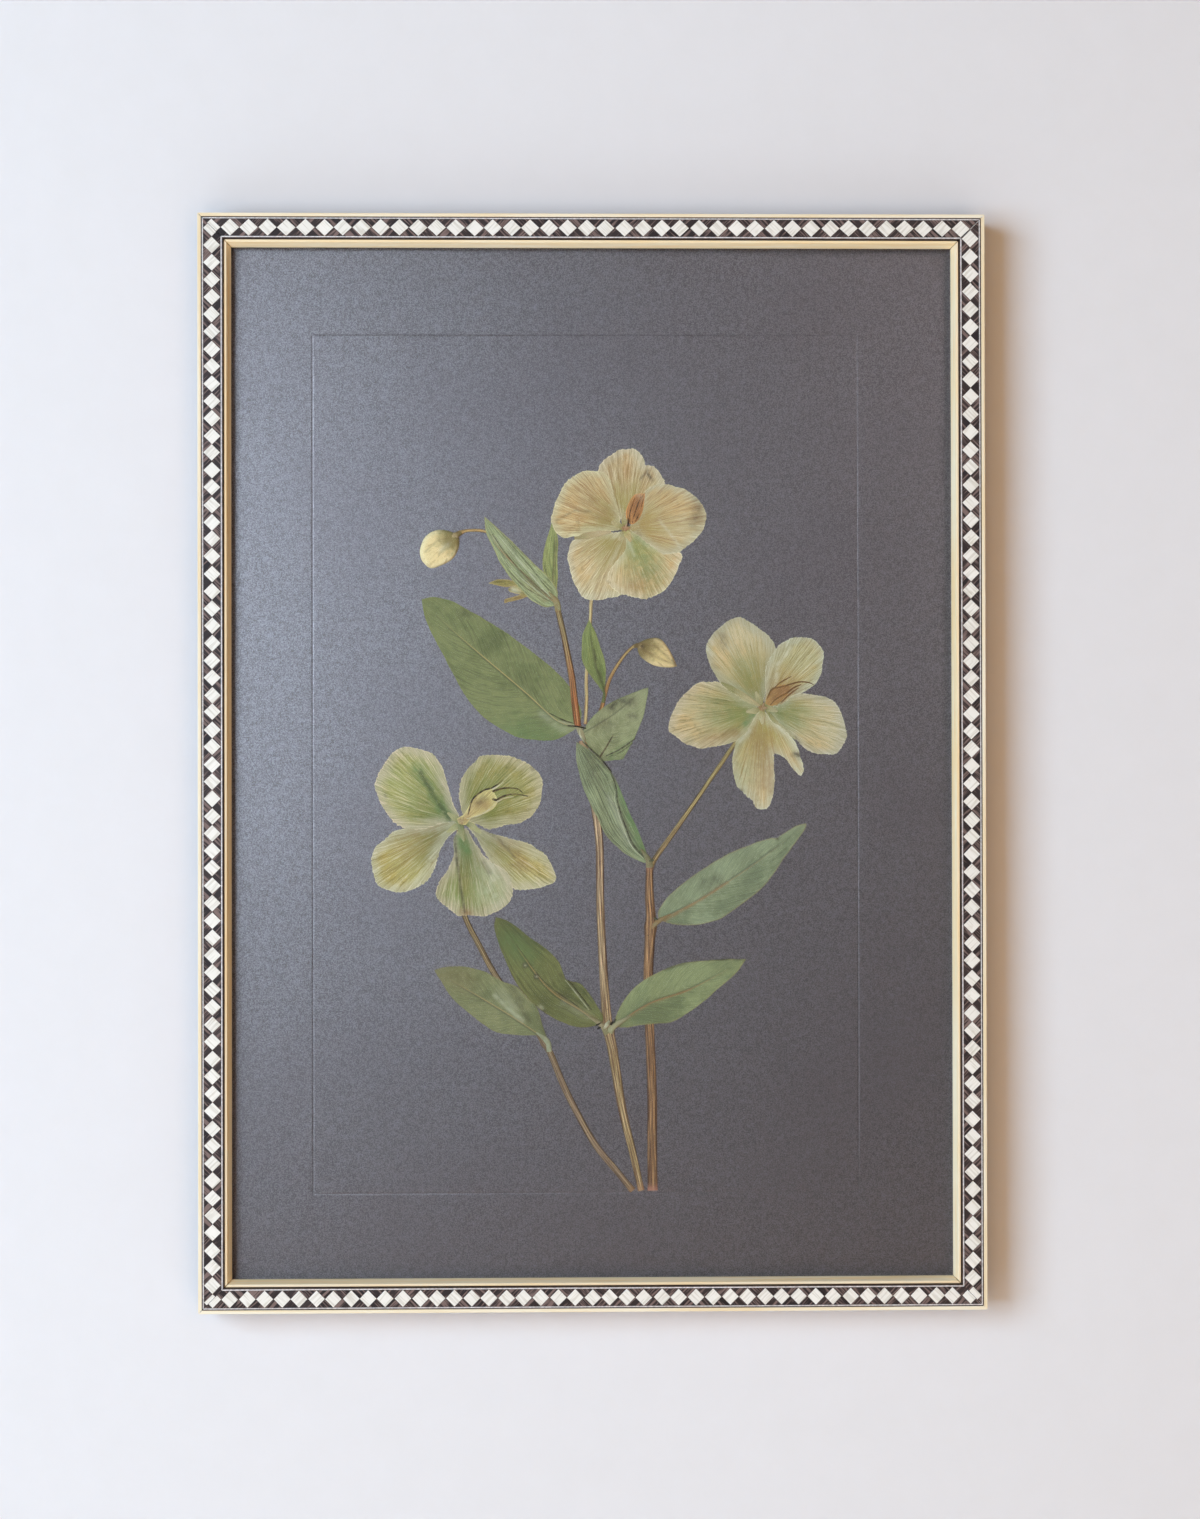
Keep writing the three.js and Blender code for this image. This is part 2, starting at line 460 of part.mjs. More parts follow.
for (const [name, stem] of Object.entries(STEMS)) {
  addStem(name, stem);
}
for (const [name, { base, layer, colour, edges }] of Object.entries(LEAVES)) {
  addBlade(name, edges, base, layer, BLADE_THICKNESS, colour);
}
for (const [name, bud] of Object.entries(BUDS)) {
  addBud(name, bud);
}
for (const [flower, { centre, colour, petals, heart, heartColour }] of Object.entries(FLOWERS)) {
  Object.entries(petals).forEach(([place, edges], i) => {
    addBlade(`${flower}_${place}_petal`, edges, centre, i + 1, BLADE_THICKNESS, colour);
  });
  addBlade(`${flower}_heart`, heart, centre, TOP_LAYER, HEART_THICKNESS, heartColour);
}

export default frame;
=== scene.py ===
# A pressed flowering plant under glass, in an inlaid picture frame that hangs on a wall.
import math

import bmesh
import bpy
import numpy as np
from mathutils import Matrix, Vector
from mathutils.geometry import delaunay_2d_cdt


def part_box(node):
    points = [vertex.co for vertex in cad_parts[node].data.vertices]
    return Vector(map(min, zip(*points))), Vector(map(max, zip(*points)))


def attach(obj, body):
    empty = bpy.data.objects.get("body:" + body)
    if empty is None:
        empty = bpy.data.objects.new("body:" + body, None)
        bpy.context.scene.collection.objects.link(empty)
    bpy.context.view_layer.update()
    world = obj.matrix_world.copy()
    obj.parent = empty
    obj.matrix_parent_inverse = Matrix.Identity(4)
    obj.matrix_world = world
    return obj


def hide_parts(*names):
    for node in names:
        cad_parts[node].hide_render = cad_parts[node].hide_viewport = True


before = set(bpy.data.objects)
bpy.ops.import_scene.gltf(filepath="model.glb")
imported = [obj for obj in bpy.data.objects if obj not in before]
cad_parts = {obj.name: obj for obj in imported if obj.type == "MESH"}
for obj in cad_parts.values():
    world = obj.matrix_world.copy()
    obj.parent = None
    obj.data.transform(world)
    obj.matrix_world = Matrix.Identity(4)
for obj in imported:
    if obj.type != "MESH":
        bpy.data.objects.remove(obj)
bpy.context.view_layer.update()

# The room: the frame hangs flat on a pale painted wall, in cool window light from the left and
# warm light from the room. The wall shows from its front alone, so that the frame's back can be
# seen too.
MM = 0.001
SHEET_LOW, SHEET_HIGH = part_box("mount_sheet")
SHEET_FACE = SHEET_LOW.y
SHEET_MIDDLE = (SHEET_LOW.z + SHEET_HIGH.z) / 2
WALL_REACH = 4.0
WALL_GAP = 0.0006
FLOOR_LEVEL = -1.25
CORNERS = ((-1, -1), (1, -1), (1, 1), (-1, 1))
LENS = 85
EYE = (-0.0367, -1.4451, SHEET_MIDDLE - 0.0121)
EYE_TURNS = (("Z", -1.589), ("X", 0.526), ("Y", 0.109), ("X", 90))

scene = bpy.context.scene
scene.view_settings.view_transform = "Standard"


def place_camera():
    lens = bpy.data.cameras.new("camera")
    lens.lens = LENS
    camera = bpy.data.objects.new("camera", lens)
    scene.collection.objects.link(camera)
    stand = Matrix.Translation(EYE)
    for axis, angle in EYE_TURNS:
        stand = stand @ Matrix.Rotation(math.radians(angle), 4, axis)
    camera.matrix_world = stand
    scene.camera = camera


def hang_lamp(name, place, size, power, colour, lights=True, mirrored=True):
    lamp = bpy.data.lights.new(name, "AREA")
    lamp.shape = "RECTANGLE"
    lamp.size, lamp.size_y = size
    lamp.energy = power
    lamp.color = colour
    holder = bpy.data.objects.new(name, lamp)
    holder.location = place
    aim = Vector((0, 0, SHEET_MIDDLE)) - Vector(place)
    holder.rotation_euler = aim.to_track_quat("-Z", "Y").to_euler()
    holder.visible_diffuse = lights
    holder.visible_glossy = mirrored
    holder.visible_transmission = mirrored
    scene.collection.objects.link(holder)


def tone(red, green, blue):
    """A screen colour, 0 to 255, as the linear colour that shaders take."""
    linear = [((c / 255 + 0.055) / 1.055) ** 2.4 for c in (red, green, blue)]
    return (*linear, 1.0)


def shade_of(colour, share):
    """A screen colour made lighter or darker, as shaders take it."""
    return tone(*(min(255, share * c) for c in colour))


class Wire:
    """A socket in a finish. Arithmetic on wires adds Math nodes."""

    def __init__(self, tree, socket=None):
        self.tree = tree
        self.socket = socket

    def node(self, kind, settings=None, inputs=None, output=0):
        made = self.tree.nodes.new(kind)
        for name, value in (settings or {}).items():
            setattr(made, name, value)
        for name, value in (inputs or {}).items():
            if isinstance(value, Wire):
                self.tree.links.new(value.socket, made.inputs[name])
            else:
                made.inputs[name].default_value = value
        return Wire(self.tree, made.outputs[output]) if made.outputs else None

    def sum_of(self, operation, first, second):
        return self.node("ShaderNodeMath", {"operation": operation}, {0: first, 1: second})

    def __add__(self, other):
        return self.sum_of("ADD", self, other)

    def __sub__(self, other):
        return self.sum_of("SUBTRACT", self, other)

    def __rsub__(self, other):
        return self.sum_of("SUBTRACT", other, self)

    def __mul__(self, other):
        return self.sum_of("MULTIPLY", self, other)

    def __abs__(self):
        return self.sum_of("ABSOLUTE", self, 0.0)

    __radd__ = __add__
    __rmul__ = __mul__


def start_finish(name):
    """A new finish, a wire to build it from, and the place on the piece."""
    material = bpy.data.materials.new(name)
    material.use_nodes = True
    material.node_tree.nodes.clear()
    wire = Wire(material.node_tree)
    return material, wire, wire.node("ShaderNodeTexCoord", output="Object")


def ease(value, low, high):
    """0 where the value is below low, 1 where it is above high, and smooth between."""
    limits = {"Value": value, "From Min": low, "From Max": high}
    return value.node("ShaderNodeMapRange", {"interpolation_type": "SMOOTHSTEP"}, limits)


def mix(first, second, share):
    """The first colour with a share of the second in it."""
    return share.node("ShaderNodeMix", {"data_type": "RGBA"}, {0: share, 6: first, 7: second}, 2)


def cloud(place, scale, detail=3.0, roughness=0.55):
    inputs = {"Vector": place, "Scale": scale, "Detail": detail, "Roughness": roughness}
    return place.node("ShaderNodeTexNoise", None, inputs, "Fac")


def spot(across, along, depth=0.0):
    """A place for a texture, put together from wires."""
    maker = across if isinstance(across, Wire) else along
    return maker.node("ShaderNodeCombineXYZ", None, {0: across, 1: along, 2: depth})


def close_finish(wire, colour, roughness, relief=None, depth=0.0, **settings):
    """Ends a finish in one shader. The relief stands out by the depth, in metres."""
    inputs = {"Base Color": colour, "Roughness": roughness}
    if relief is not None:
        bump = {"Height": relief, "Distance": depth, "Strength": 1.0}
        inputs["Normal"] = wire.node("ShaderNodeBump", None, bump)
    inputs.update(settings)
    shader = wire.node("ShaderNodeBsdfPrincipled", None, inputs)
    wire.node("ShaderNodeOutputMaterial", None, {"Surface": shader})
    return shader


def clear_where(wire, shader, share):
    """Makes a closed finish see-through where the share is 1."""
    clear = wire.node("ShaderNodeBsdfTransparent")
    seen = wire.node("ShaderNodeMixShader", None, {0: share, 1: shader, 2: clear})
    end = next(node for node in wire.tree.nodes if node.type == "OUTPUT_MATERIAL")
    wire.tree.links.new(seen.socket, end.inputs["Surface"])


def stage_sheet(name, corners, finish):
    mesh = bpy.data.meshes.new(name)
    mesh.from_pydata(corners, [], [(0, 1, 2, 3)])
    mesh.materials.append(finish)
    sheet = bpy.data.objects.new(name, mesh)
    scene.collection.objects.link(sheet)
    return sheet


def plaster_finish(name, colour, one_sided):
    material, wire, place = start_finish(name)
    lumps = cloud(place, 60.0, 5.0)
    paint = mix(colour, tone(236, 235, 234), lumps)
    shader = close_finish(wire, paint, 0.9, lumps, 0.00015)
    if one_sided:
        clear_where(wire, shader, wire.node("ShaderNodeNewGeometry", output="Backfacing"))
    return material


place_camera()
hang_lamp("window", (-1.34, -1.82, 0.0), (1.3, 1.3), 51.5, (0.566, 0.760, 0.970), mirrored=False)
hang_lamp("window_gleam", (-0.72, -1.8, 0.0), (0.8, 0.5), 10.0, (0.52, 0.74, 0.97), lights=False)
hang_lamp("ceiling_gleam", (0.85, -1.8, 0.4), (0.8, 0.8), 3.0, (0.9, 0.92, 1.0), lights=False)
hang_lamp("room", (0.1, -2.7, -0.4), (2.0, 2.0), 25.5, (1.0, 0.58, 0.25), mirrored=False)
hang_lamp("behind", (0.5, 1.8, 0.5), (1.5, 1.5), 26.0, (1.0, 0.97, 0.94))
room_light = bpy.data.worlds.new("room_light")
room_light.use_nodes = True
background = room_light.node_tree.nodes["Background"]
background.inputs["Color"].default_value = (1.0, 0.77, 0.54, 1)
background.inputs["Strength"].default_value = 0.09
scene.world = room_light

wall = stage_sheet(
    "wall",
    [(x * WALL_REACH, WALL_GAP, z * WALL_REACH) for x, z in CORNERS],
    plaster_finish("wall_paint", tone(240, 239, 239), True),
)
wall.visible_shadow = False
stage_sheet(
    "floor",
    [(x * WALL_REACH, y * WALL_REACH, FLOOR_LEVEL) for x, y in CORNERS],
    plaster_finish("floor_paint", tone(228, 226, 223), False),
)

# Rails: four lengths of dark red-brown hardwood, mitred, glued at the corners and satin varnished.
# Their front is covered by the inlay, and a rabbet behind the lip takes the glass and the boards.
RAIL_DARK = tone(52, 28, 20)
RAIL_LIGHT = tone(112, 70, 48)
RAIL_ARRIS = 0.0004
WELD_REACH = 0.00001
HORIZONTAL = ("bottom", "top")
UPRIGHT = ("left", "right")


def wood_finish(name, upright, dark, light, shine, fibre=650.0, figure=70.0):
    """Wood whose fibres run along x, or along z where it is upright."""
    material, wire, place = start_finish(name)

    def stretched(across, along):
        sizes = (across, across, along) if upright else (along, across, across)
        return wire.node("ShaderNodeVectorMath", {"operation": "MULTIPLY"}, {0: place, 1: sizes})

    grain = cloud(stretched(fibre, fibre / 30), 1.0, 6.0, 0.65)
    bands = cloud(stretched(figure, figure / 14), 1.0, 3.0)
    shade = ease(grain * 0.62 + bands * 0.38, 0.36, 0.64)
    close_finish(wire, mix(dark, light, shade), shine + grain * 0.2, grain, 0.00008)
    return material


def dress_node(name, finish, arris):
    """Gives a solid its finish, and takes the sharpness off its edges."""
    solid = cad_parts[name]
    solid.data.materials.clear()
    solid.data.materials.append(finish)
    weld = solid.modifiers.new("weld", "WELD")
    weld.merge_threshold = WELD_REACH
    rounding = solid.modifiers.new("arris", "BEVEL")
    rounding.width = arris
    rounding.segments = 2
    rounding.limit_method = "ANGLE"


for upright, sides in ((False, HORIZONTAL), (True, UPRIGHT)):
    rail_finish = wood_finish("rail_wood_" + sides[0], upright, RAIL_DARK, RAIL_LIGHT, 0.34)
    for side in sides:
        dress_node(side + "_rail", rail_finish, RAIL_ARRIS)

# Inlay bands: bone diamonds and dark wood triangles, sawn by hand and glued side by side onto the
# face of each rail, between pale and dark strings, with a cream wood strip along the outer edge.
FACE = -0.022
OUTER_HALF = (156.5, 218.0)
MITRE_GAP = 0.12
BAND_BACK = 1.2
TILE_LOW = 2.26
TILE_HIGH = 9.18
TILE_MIDDLE = (TILE_LOW + TILE_HIGH) / 2
GLUE_LINE = 0.05
CREAM, EBONY, PALE, TILE = range(4)
# Each strip along a band: its two edges, how deep its front lies, its chamfer and its material.
STRIPS = [
    (0.0, 1.36, 0.0, 0.2, CREAM),
    (1.4, 1.8, 0.06, 0.05, EBONY),
    (1.83, 2.22, 0.03, 0.05, PALE),
    (TILE_LOW, TILE_HIGH, 0.3, 0.02, EBONY),
    (9.22, 9.66, 0.03, 0.05, PALE),
    (9.69, 10.1, 0.08, 0.05, EBONY),
]
# Each row of diamonds: how far its first one is past the corner, its pitch and its number.
ROWS = {
    "top": (-0.2, 7.45, 41),
    "bottom": (0.0, 6.83, 45),
    "left": (0.3, 6.86, 62),
    "right": (4.0, 7.01, 61),
}
# How far the hand-sawn diamonds stray: in place and size as shares of the pitch, and in level.
PLACE_ERROR, SIZE_ERROR, LEVEL_ERROR = 0.018, 0.005, 0.05
DIAMOND_HALF = 0.482
DIAMOND_TIP = 0.03
LOOKS = ("bone", "shade", "turn")
chance = np.random.default_rng(7)


def face_place(side, along, inward, behind):
    """A point on a band, from its length, its distance in from the edge and its depth."""
    across, up = OUTER_HALF
    x, z = {
        "top": (along - across, up - inward),
        "bottom": (along - across, inward - up),
        "left": (inward - across, up - along),
        "right": (across - inward, up - along),
    }[side]
    return (x * MM, FACE + behind * MM, SHEET_MIDDLE + z * MM)


def band_length(side):
    return 2 * OUTER_HALF[0 if side in HORIZONTAL else 1]


def cut_to_mitres(corners, length):
    """What is left of a flat piece between the two mitred ends of a band."""
    for slope, limit in ((-1, -MITRE_GAP), (1, length - MITRE_GAP)):
        past = [slope * along + inward - limit for along, inward in corners]
        kept = []
        for i, corner in enumerate(corners):
            j = (i + 1) % len(corners)
            if past[i] <= 0:
                kept.append(corner)
            if past[i] * past[j] < 0:
                share = past[i] / (past[i] - past[j])
                kept.append(tuple(a + (b - a) * share for a, b in zip(corner, corners[j])))
        corners = kept
        if len(corners) < 3:
            return []
    return corners


def ring_sides(low, high):
    """The four-sided faces between two rings of as many points."""
    return list(zip(low, low[1:] + low[:1], high[1:] + high[:1], high))


def set_tile(build, side, corners, front, chamfer, kind, looks):
    """Adds one flat piece of the inlay, with its front edge eased."""
    corners = cut_to_mitres(corners, band_length(side))
    if not corners:
        return
    outline = np.array(corners)
    middle = outline.mean(0)
    edge = np.roll(outline, -1, 0) - outline
    reach = np.abs(np.cross(edge, middle - outline)) / np.maximum(np.hypot(*edge.T), 1e-6)
    inner = outline + (middle - outline) * min(0.7, chamfer / max(reach.min(), 1e-6))
    rings = []
    for ring, behind in ((outline, BAND_BACK), (outline, front + chamfer / 2), (inner, front)):
        rings.append([build.verts.new(face_place(side, a, i, behind)) for a, i in ring])
    layers = [build.verts.layers.float[name] for name in LOOKS]
    for vert in (v for ring in rings for v in ring):
        for layer, look in zip(layers, looks):
            vert[layer] = look
    faces = [build.faces.new(rings[0][::-1]), build.faces.new(rings[2])]
    for low, high in zip(rings, rings[1:]):
        faces += [build.faces.new(corners) for corners in ring_sides(low, high)]
    for face in faces:
        face.material_index = kind


def fields_of(wire, *names):
    """The values that a mesh carries under these names."""
    return [
        wire.node("ShaderNodeAttribute", {"attribute_name": name}, None, "Fac") for name in names
    ]


def axes_of(place, *axes):
    return [place.node("ShaderNodeSeparateXYZ", None, {0: place}, axis) for axis in axes]


def tile_finish():
    """Bone and dark wood, each with the fine parallel lines that the saw and the fibres leave."""
    material, wire, place = start_finish("inlay_tiles")
    bone, shade, turn = fields_of(wire, *LOOKS)
    x, z = axes_of(place, "X", "Z")
    lines = cloud(spot((x + z * turn) * 900.0, (x - z * turn) * 60.0, shade * 40.0), 1.0, 2.0)
    dirt = cloud(place, 300.0, 4.0)
    worn = ease(lines, 0.48, 0.62) * 0.85 + shade * 0.1
    dark = mix(tone(34, 23, 22), tone(134, 112, 105), worn)
    yellowed = ease(lines, 0.47, 0.64) * 0.6 + shade * 0.2
    pale = mix(tone(250, 247, 237), tone(216, 211, 196), yellowed)
    pale = mix(pale, tone(202, 189, 163), ease(dirt, 0.6, 0.8) * 0.35)
    colour = mix(dark, pale, bone)
    close_finish(wire, colour, 0.42 - bone * 0.1 + lines * 0.12, lines, 0.00003)
    return material


def string_finish(name, dark, light, metal):
    material, wire, place = start_finish(name)
    wear = cloud(place, 900.0, 4.0, 0.65)
    colour = mix(dark, light, ease(wear, 0.35, 0.65))
    close_finish(wire, colour, 0.35 + wear * 0.2, wear, 0.00003, Metallic=metal)
    return material


def set_piece(name, mesh, slot, *nodes):
    """Puts a finished mesh on the part, in place of the solids named."""
    piece = bpy.data.objects.new(name, mesh)
    scene.collection.objects.link(piece)
    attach(piece, "root")
    if nodes:
        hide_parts(*nodes)


EDGE_STRIPS = [
    wood_finish("edge_strip_" + way, upright, tone(246, 224, 180), tone(255, 246, 220), 0.4)
    for way, upright in (("level", False), ("upright", True))
]
EBONY_STRING = string_finish("ebony_string", tone(48, 36, 31), tone(84, 66, 56), 0.0)
PALE_STRING = string_finish("pale_string", tone(206, 201, 199), tone(248, 246, 243), 0.2)
TILES = tile_finish()

for side, (first, pitch, number) in ROWS.items():
    build = bmesh.new()
    for name in LOOKS:
        build.verts.layers.float.new(name)
    length = band_length(side)
    for low, high, front, chamfer, kind in STRIPS:
        corners = [(0, low), (length, low), (length, high), (0, high)]
        set_tile(build, side, corners, front, chamfer, kind, (0, 0.5, 1))
    # One more diamond before the row, and two after it, are cut off by the mitres.
    steps = np.arange(-1, number + 2)
    middles = TILE_MIDDLE + first + pitch * (steps + chance.normal(0, PLACE_ERROR, len(steps)))
    halves = pitch * (DIAMOND_HALF + chance.normal(0, SIZE_ERROR, len(steps)))
    drops = chance.normal(0, LEVEL_ERROR, len(steps))
    for i, (middle, half) in enumerate(zip(middles, halves)):
        rise = (TILE_HIGH - TILE_LOW) / 2 - GLUE_LINE
        level = TILE_MIDDLE + drops[i]
        diamond = [
            (middle - half, level),
            (middle, level - rise + abs(drops[i]) + DIAMOND_TIP),
            (middle + half, level),
            (middle, level + rise - abs(drops[i]) - DIAMOND_TIP),
        ]
        looks = (1, chance.random(), chance.choice((-1, 1)))
        set_tile(build, side, diamond, 0.02 + 0.03 * chance.random(), 0.08, TILE, looks)
        if i + 1 == len(middles):
            break
        beyond = middles[i + 1]
        meeting = (middle + half + beyond - halves[i + 1]) / 2
        for edge, towards in ((TILE_LOW, 1), (TILE_HIGH, -1)):
            triangle = [
                (middle + 3 * GLUE_LINE, edge),
                (beyond - 3 * GLUE_LINE, edge),
                (meeting, TILE_MIDDLE - towards * 2 * GLUE_LINE),
            ]
            looks = (0, chance.random(), chance.choice((-1, 1)))
            set_tile(build, side, triangle, 0.05 + 0.03 * chance.random(), 0.05, TILE, looks)
    bmesh.ops.recalc_face_normals(build, faces=build.faces)
    mesh = bpy.data.meshes.new(side + "_inlay")
    build.to_mesh(mesh)
    build.free()
    for finish in (EDGE_STRIPS[side in UPRIGHT], EBONY_STRING, PALE_STRING, TILES):
        mesh.materials.append(finish)
    set_piece(side + "_inlay", mesh, "inlay", side + "_inlay_band")

# Slips: thin cream-painted strips of wood inside the rails, mitred, with a sloping inner face.
# Their tongue is held behind the rails' lip, and the glass lies against them.
SLIP_ARRIS = 0.0002

for upright, sides in ((False, HORIZONTAL), (True, UPRIGHT)):
    slip_finish = wood_finish(
        "slip_wood_" + sides[0], upright, tone(255, 224, 168), tone(255, 241, 208), 0.5
    )
    for side in sides:
        dress_node(side + "_slip", slip_finish, SLIP_ARRIS)

# Glass: a pane of clear float glass, cut to the sheet's size and held between the slips and the
# spacer. Lamps shine through it, and it has a faint trace of dust.
material, wire, place = start_finish("pane")
dust = cloud(place, 140.0, 4.0)
float_glass = {"Transmission Weight": 1.0, "IOR": 1.45}
pane = close_finish(wire, (1, 1, 1, 1), 0.02 + dust * 0.05, **float_glass)
clear_where(wire, pane, wire.node("ShaderNodeLightPath", output="Is Shadow Ray"))
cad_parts["glass"].data.materials.clear()
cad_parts["glass"].data.materials.append(material)

# Spacer: a window cut from off-white board, hidden under the slips, that keeps the glass off the
# plant. It lies loose between the glass and the sheet.
material, wire, place = start_finish("spacer_board")
pulp = cloud(place, 1200.0, 4.0)
close_finish(wire, mix(tone(214, 207, 194), tone(236, 231, 221), pulp), 0.9, pulp, 0.00005)
dress_node("spacer", material, SLIP_ARRIS)

# Mount sheet: slate-grey paper board with a fine pearly grain. A plate line is pressed into its
# front around the plant, a little deeper on the left, and the plant is glued to it.
PLATE_CENTRE = (-2.6, -0.4)
PLATE_HALF = (109.0, 171.6)
PLATE_GROOVE = 0.5
PLATE_DEPTH = 0.045
PLATE_TILT = 0.2
GROOVE_RINGS = (3, 4)


def paper_finish():
    material, wire, place = start_finish("slate_paper")
    flecks = cloud(place, 1900.0, 3.0, 0.65)
    felt = cloud(place, 520.0, 4.0, 0.6)
    drift = cloud(place, 9.0, 2.0)
    (pressed,) = fields_of(wire, "pressed")
    grain = ease(flecks * 0.75 + felt * 0.25, 0.37, 0.63)
    grey = mix(tone(120, 107, 103), tone(164, 151, 148), grain)
    grey = mix(grey, tone(136, 121, 119), ease(drift, 0.4, 0.7) * 0.3)
    # Painted shade: the paper is a little darker in the plate line's groove.
    grey = mix(grey, tone(92, 82, 80), pressed * 0.12)
    pearl = ease(flecks * 0.7 + felt * 0.3, 0.32, 0.68)
    tooth = flecks * 0.6 + felt * 0.4
    close_finish(wire, grey, 0.4 - pearl * 0.05, tooth, 0.00002, Metallic=0.9 + pearl * 0.04)
    return material


def sheet_ring(half, centre, height, tilt=0.0):
    """Four corners on the sheet. The tilt makes the height greater on the left."""
    return [
        (
            (centre[0] + x * half[0]) * MM,
            SHEET_FACE - height * (1 - tilt * x) * MM,
            SHEET_MIDDLE + (centre[1] + z * half[1]) * MM,
        )
        for x, z in CORNERS
    ]


def plate_ring(offset, height):
    half = [size + offset for size in PLATE_HALF]
    return sheet_ring(half, PLATE_CENTRE, height, PLATE_TILT)


sheet_half = (
    (SHEET_HIGH.x - SHEET_LOW.x) / 2 / MM,
    (SHEET_HIGH.z - SHEET_LOW.z) / 2 / MM,
)
board = (SHEET_HIGH.y - SHEET_LOW.y) / MM
rings = [
    sheet_ring(sheet_half, (0, 0), -board),
    sheet_ring(sheet_half, (0, 0), 0),
    plate_ring(PLATE_GROOVE, 0),
    plate_ring(PLATE_GROOVE / 3, -PLATE_DEPTH),
    plate_ring(-PLATE_GROOVE / 3, -PLATE_DEPTH),
    plate_ring(-PLATE_GROOVE, 0),
]
points = [corner for ring in rings for corner in ring]
numbers = [list(range(4 * i, 4 * i + 4)) for i in range(len(rings))]
faces = [numbers[0][::-1], numbers[-1]]
for low, high in zip(numbers, numbers[1:]):
    faces += ring_sides(low, high)
mesh = bpy.data.meshes.new("slate_sheet")
mesh.from_pydata(points, [], faces)
# The groove's rings carry "pressed", which the paper's finish darkens as painted shade.
mesh.attributes.new("pressed", "FLOAT", "POINT").data.foreach_set(
    "value", [float(i // 4 in GROOVE_RINGS) for i in range(len(points))]
)
mesh.materials.append(paper_finish())
set_piece("slate_sheet", mesh, "mount_paper", "mount_sheet")

# Leaves on the paper: dried leaves and bracts, pressed flat and glued down first. Each keeps its
# outline from its solid, and gets its midrib, veins, wrinkles and stains.
SPACING = 0.55
BLADE = 0.16
GLUE = 0.04
SHARP_CORNER = math.radians(48)
SHARP_EDGE = math.radians(60)
# What lies on the sheet so far, in square cells: how high it stands, and where a blade covers it.
CELL = 0.5
GRID_LOW = np.array((-150.0, -212.0))
GRID_CELLS = (849, 601)
relief = np.zeros(GRID_CELLS)
cover = np.zeros(GRID_CELLS)
# The sheet lies deeper than the face that the plant's solids were measured at, so the plant is
# spread a little and lowered.
SPREAD = np.array([(1.0071, -0.0005), (0.0017, 1.0067)])
DROP = (-0.28, -0.38)
MARKS = ("stain", "verdure", "bleach", "rust")
# Leaves whose veins run along them, and how strongly they show.
LENGTHWISE = {
    "narrow_bract": 0.8,
    "side_shoot": 0.8,
    "broad_bract": 0.85,
    "small_leaf": 0.6,
    "hanging_leaf": 0.8,
    "dark_leaf": 0.42,
}
FEATHERED = 0.34
RIBS = 13
RIB_SPACING = 0.42
FAR_IN = 3.0


def outline_of(name):
    """The edge of a flat solid as seen from the front, in millimetres on the sheet."""
    build = bmesh.new()
    build.from_mesh(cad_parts[name].data)
    bmesh.ops.remove_doubles(build, verts=build.verts, dist=1e-6)
    build.normal_update()
    hidden = [face for face in build.faces if face.normal.y > -0.9]
    bmesh.ops.delete(build, geom=hidden, context="FACES")
    following = {}
    for edge in build.edges:
        if edge.is_boundary:
            corner = edge.link_loops[0]
            following[corner.vert] = corner.link_loop_next.vert
    start = min(following, key=lambda vert: (vert.co.z, vert.co.x))
    walk = [start]
    while following[walk[-1]] is not start:
        walk.append(following[walk[-1]])
    outline = np.array([(v.co.x / MM, (v.co.z - SHEET_MIDDLE) / MM) for v in walk])
    build.free()
    return outline


def smooth_line(points, spacing, closed):
    """A curve through the points. A closed one keeps its sharp corners."""
    count = len(points)
    if closed:
        before = points - np.roll(points, 1, 0)
        after = np.roll(points, -1, 0) - points
        bend = np.abs(np.arctan2(np.cross(before, after), (before * after).sum(1)))
        corner = bend > SHARP_CORNER
        spans = range(count)
    else:
        corner = np.zeros(count, bool)
        corner[[0, -1]] = True
        spans = range(count - 1)
    line = []
    for i in spans:
        p1, p2 = points[i], points[(i + 1) % count]
        p0 = 2 * p1 - p2 if corner[i] else points[i - 1]
        p3 = 2 * p2 - p1 if corner[(i + 1) % count] else points[(i + 2) % count]
        steps = max(1, round(np.hypot(*(p2 - p1)) / spacing))
        for t in np.arange(steps) / steps:
            square = 2 * p0 - 5 * p1 + 4 * p2 - p3
            cube = 3 * p1 - p0 - 3 * p2 + p3
            line.append(0.5 * (2 * p1 + (p2 - p0) * t + square * t**2 + cube * t**3))
    if not closed:
        line.append(points[-1])
    return np.array(line)


def away_from(line, spots, closed):
    """How far each spot is from a line."""
    if closed:
        line = np.vstack([line, line[:1]])
    nearest = np.full(len(spots), 1e9)
    for start, end in zip(line, line[1:]):
        step = end - start
        share = np.clip((spots - start) @ step / max(step @ step, 1e-9), 0, 1)
        nearest = np.minimum(nearest, ((spots - start - share[:, None] * step) ** 2).sum(1))
    return np.sqrt(nearest)


def side_of(line, spots):
    """How far each spot is from an open line, and below 0 on its right."""
    nearest = np.full(len(spots), 1e9)
    signed = np.zeros(len(spots))
    for start, end in zip(line[:-1], line[1:]):
        step = end - start
        share = np.clip((spots - start) @ step / (step @ step), 0, 1)
        gap = spots - start - share[:, None] * step
        away = np.hypot(*gap.T)
        closer = away < nearest
        nearest[closer] = away[closer]
        signed[closer] = (away * np.sign(np.cross(step, gap)))[closer]
    return signed


def inside_of(rim, spots):
    """Whether each spot is inside an outline."""
    within = np.zeros(len(spots), bool)
    for (x0, z0), (x1, z1) in zip(rim, np.roll(rim, -1, 0)):
        if z0 != z1:
            crossing = (spots[:, 1] > z0) != (spots[:, 1] > z1)
            within ^= crossing & (spots[:, 0] < x0 + (x1 - x0) * (spots[:, 1] - z0) / (z1 - z0))
    return within


